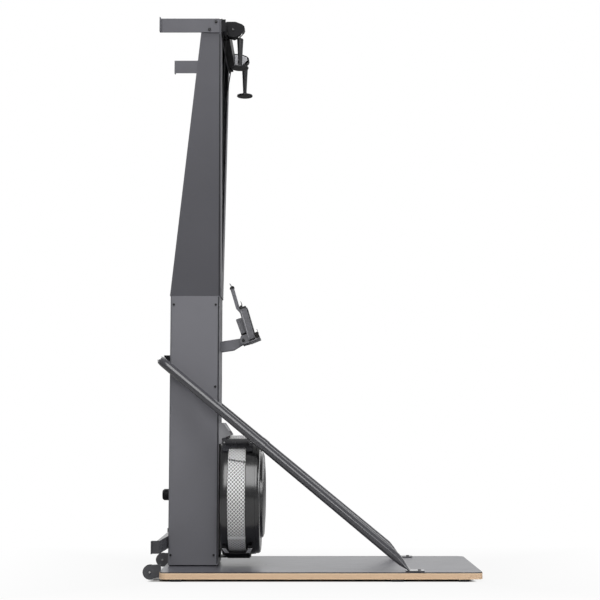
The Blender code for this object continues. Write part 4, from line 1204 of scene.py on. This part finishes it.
class ERGOMETER_OT_console(Operator):
    """Finishes the console and the device holder, and gives them their trims, display and rubber parts."""

    bl_idname = "ergometer.console"
    bl_label = "Console"

    def execute(self, context):
        finish_nodes(body_paint(), "console_arm")
        finish_nodes(console_plastic(), "console_body", "console_back_box")
        finish_nodes(shared("display_window", display_glass), "console_screen")
        finish_nodes(body_paint(), "console_post", "device_ledge")
        down = CONSOLE_SLOPE.normalized()
        out = Vector((-down.z, 0.0, down.x))
        face = Matrix((down, (0.0, 1.0, 0.0), out)).transposed().to_4x4()
        face = Matrix.Translation(CONSOLE_TOP) @ face
        self.bezel(face)
        self.display(face)
        self.trims()
        self.holder()
        return {"FINISHED"}

    def bezel(self, face):
        """A raised rim round the window, rounded at its corners."""
        rings = []
        for inset, height in RIM_SECTION:
            sides = (RIM_NEAR + inset, RIM_FAR - inset, RIM_HALF - inset)
            rings.append(self.rounded(*sides, RIM_CORNER - inset * 0.6, height))
        mesh = stacked(rings, False, False)
        mesh.transform(face)
        new_piece("console_bezel", mesh, black_plastic(), "console")

    def rounded(self, near, far, half, radius, height):
        """A rectangle with round corners, as points in the plane of the console's front."""
        points = []
        corners = ((far - radius, half - radius, 0), (near + radius, half - radius, 90))
        corners += ((near + radius, radius - half, 180), (far - radius, radius - half, 270))
        for x, y, start in corners:
            for step in range(6):
                turn = math.radians(start + step * 18)
                points.append((x + radius * math.cos(turn), y + radius * math.sin(turn), height))
        return points

    def display(self, face):
        """The unlit panel and a row of plain membrane keys below it."""
        panel = stacked([self.rounded(*DISPLAY_SIDES, DISPLAY_CORNER, height) for height in DISPLAY_HEIGHTS])
        panel.transform(face)
        grey = shared("unlit_segment_panel", segment_display)
        new_piece("console_display", panel, grey, "console")
        rubber = shared("membrane_key_rubber", ribbed_rubber, (0.10, 0.10, 0.105))
        for number in range(KEY_COUNT):
            key = stacked([ring_points(20, radius, height) for radius, height in KEY_SECTION])
            across = (number - (KEY_COUNT - 1) / 2) * KEY_PITCH
            key.transform(face @ Matrix.Translation((KEY_DOWN, across, 0.0)))
            new_piece(f"console_key_{number + 1}", key, rubber, "console")

    def trims(self):
        """Black end trims, pale strips along the casing's edges as painted highlight, and screws in the
        cheeks of its pivot.
        """
        for side, sign in SIDES.items():
            pivot = (PIVOT_PLACE[0], sign * PIVOT_SIDE, PIVOT_PLACE[1])
            socket_bolt(f"pivot_screw_{side}", pivot, (0, sign, 0), PIVOT_SCREW, black_screw())
            # Painted highlight: a pale strip along the casing's edge
            edge_highlight = self.slab(EDGE_HIGHLIGHT, *sorted(sign * y for y in EDGE_HIGHLIGHT_Y))
            new_piece(f"console_edge_highlight_{side}", edge_highlight, pale_paint(), "console")
        self.trim("console_top_trim", 1, *TOP_TRIM)
        for side, sign in SIDES.items():
            self.trim(f"console_low_trim_{side}", sign, *LOW_TRIM)

    def trim(self, name, sign, place, lean, size):
        """A black strip with rounded edges, leaning as the casing does."""
        x, y, z = place
        mesh = soft_box(size, TRIM_EDGE)
        mesh.transform(Matrix.Translation((x, sign * y, z)) @ Matrix.Rotation(math.radians(-lean), 4, "Y"))
        new_piece(name, mesh, black_plastic(), "console")

    def holder(self):
        """A clip and a cable sleeve on the casing, a cap on the post and boots on the ledge."""
        rubber = shared("holder_rubber", ribbed_rubber, (0.012,) * 3, 0.00069)
        new_piece("console_top_clip", self.slab(CLIP, *CLIP_Y), dark_paint(), "console")
        new_piece("post_cap", self.slab(POST_CAP, *POST_CAP_Y), rubber, "device_post")
        new_piece("console_cable_sleeve", self.slab(SLEEVE, *SLEEVE_Y), rubber, "console")
        for side, sign in SIDES.items():
            boot = self.slab(BOOT, *sorted(sign * y for y in BOOT_Y))
            new_piece(f"ledge_boot_{side}", boot, rubber, "console")

    def slab(self, outline, low, high):
        """A plate cut to an outline that is given as x and z, softened along its edges."""
        centre = Vector((sum(x for x, z in outline), 0.0, sum(z for x, z in outline))) / len(outline)
        levels = ((low, SLAB_EDGE), (low + SLAB_EDGE, 0.0), (high - SLAB_EDGE, 0.0), (high, SLAB_EDGE))
        rings = []
        for y, inset in levels:
            ring = []
            for x, z in outline:
                inward = Vector((centre.x - x, 0.0, centre.z - z)).normalized()
                ring.append(Vector((x, y, z)) + inward * inset)
            rings.append(ring)
        return stacked(rings)


PIECE_OPERATORS = (
    ERGOMETER_OT_platform,
    ERGOMETER_OT_upright,
    ERGOMETER_OT_wall_fixings,
    ERGOMETER_OT_head,
    ERGOMETER_OT_handles,
    ERGOMETER_OT_cord_drive,
    ERGOMETER_OT_fan,
    ERGOMETER_OT_brace,
    ERGOMETER_OT_console,
    ERGOMETER_OT_studio,
)


class ERGOMETER_PT_dressing(Panel):
    """Lists the steps that dress the ergometer, with their sizes and colours."""

    bl_idname = "ERGOMETER_PT_dressing"
    bl_label = "Ski Ergometer"
    bl_space_type = "VIEW_3D"
    bl_region_type = "UI"
    bl_category = "Ergometer"

    def draw(self, context):
        layout = self.layout
        for settings in (context.scene.ergometer_finishes, context.scene.ergometer_sizes):
            column = layout.column(align=True)
            for name in settings.bl_rna.properties.keys():
                if name not in ("rna_type", "name"):
                    column.prop(settings, name)
        column = layout.column()
        for operator in PIECE_OPERATORS:
            column.operator(operator.bl_idname)


def register():
    for settings in (ErgometerFinishes, ErgometerSizes):
        bpy.utils.register_class(settings)
    bpy.types.Scene.ergometer_finishes = PointerProperty(type=ErgometerFinishes)
    bpy.types.Scene.ergometer_sizes = PointerProperty(type=ErgometerSizes)
    for operator in PIECE_OPERATORS:
        bpy.utils.register_class(operator)
    bpy.utils.register_class(ERGOMETER_PT_dressing)


def unregister():
    bpy.utils.unregister_class(ERGOMETER_PT_dressing)
    for operator in reversed(PIECE_OPERATORS):
        bpy.utils.unregister_class(operator)
    del bpy.types.Scene.ergometer_sizes
    del bpy.types.Scene.ergometer_finishes
    for settings in (ErgometerSizes, ErgometerFinishes):
        bpy.utils.unregister_class(settings)


def main():
    register()
    bpy.ops.ergometer.platform()
    bpy.ops.ergometer.upright()
    bpy.ops.ergometer.wall_fixings()
    bpy.ops.ergometer.head()
    bpy.ops.ergometer.handles()
    bpy.ops.ergometer.cord_drive()
    bpy.ops.ergometer.fan()
    bpy.ops.ergometer.brace()
    bpy.ops.ergometer.console()
    bpy.ops.ergometer.studio()


if __name__ == "__main__":
    main()
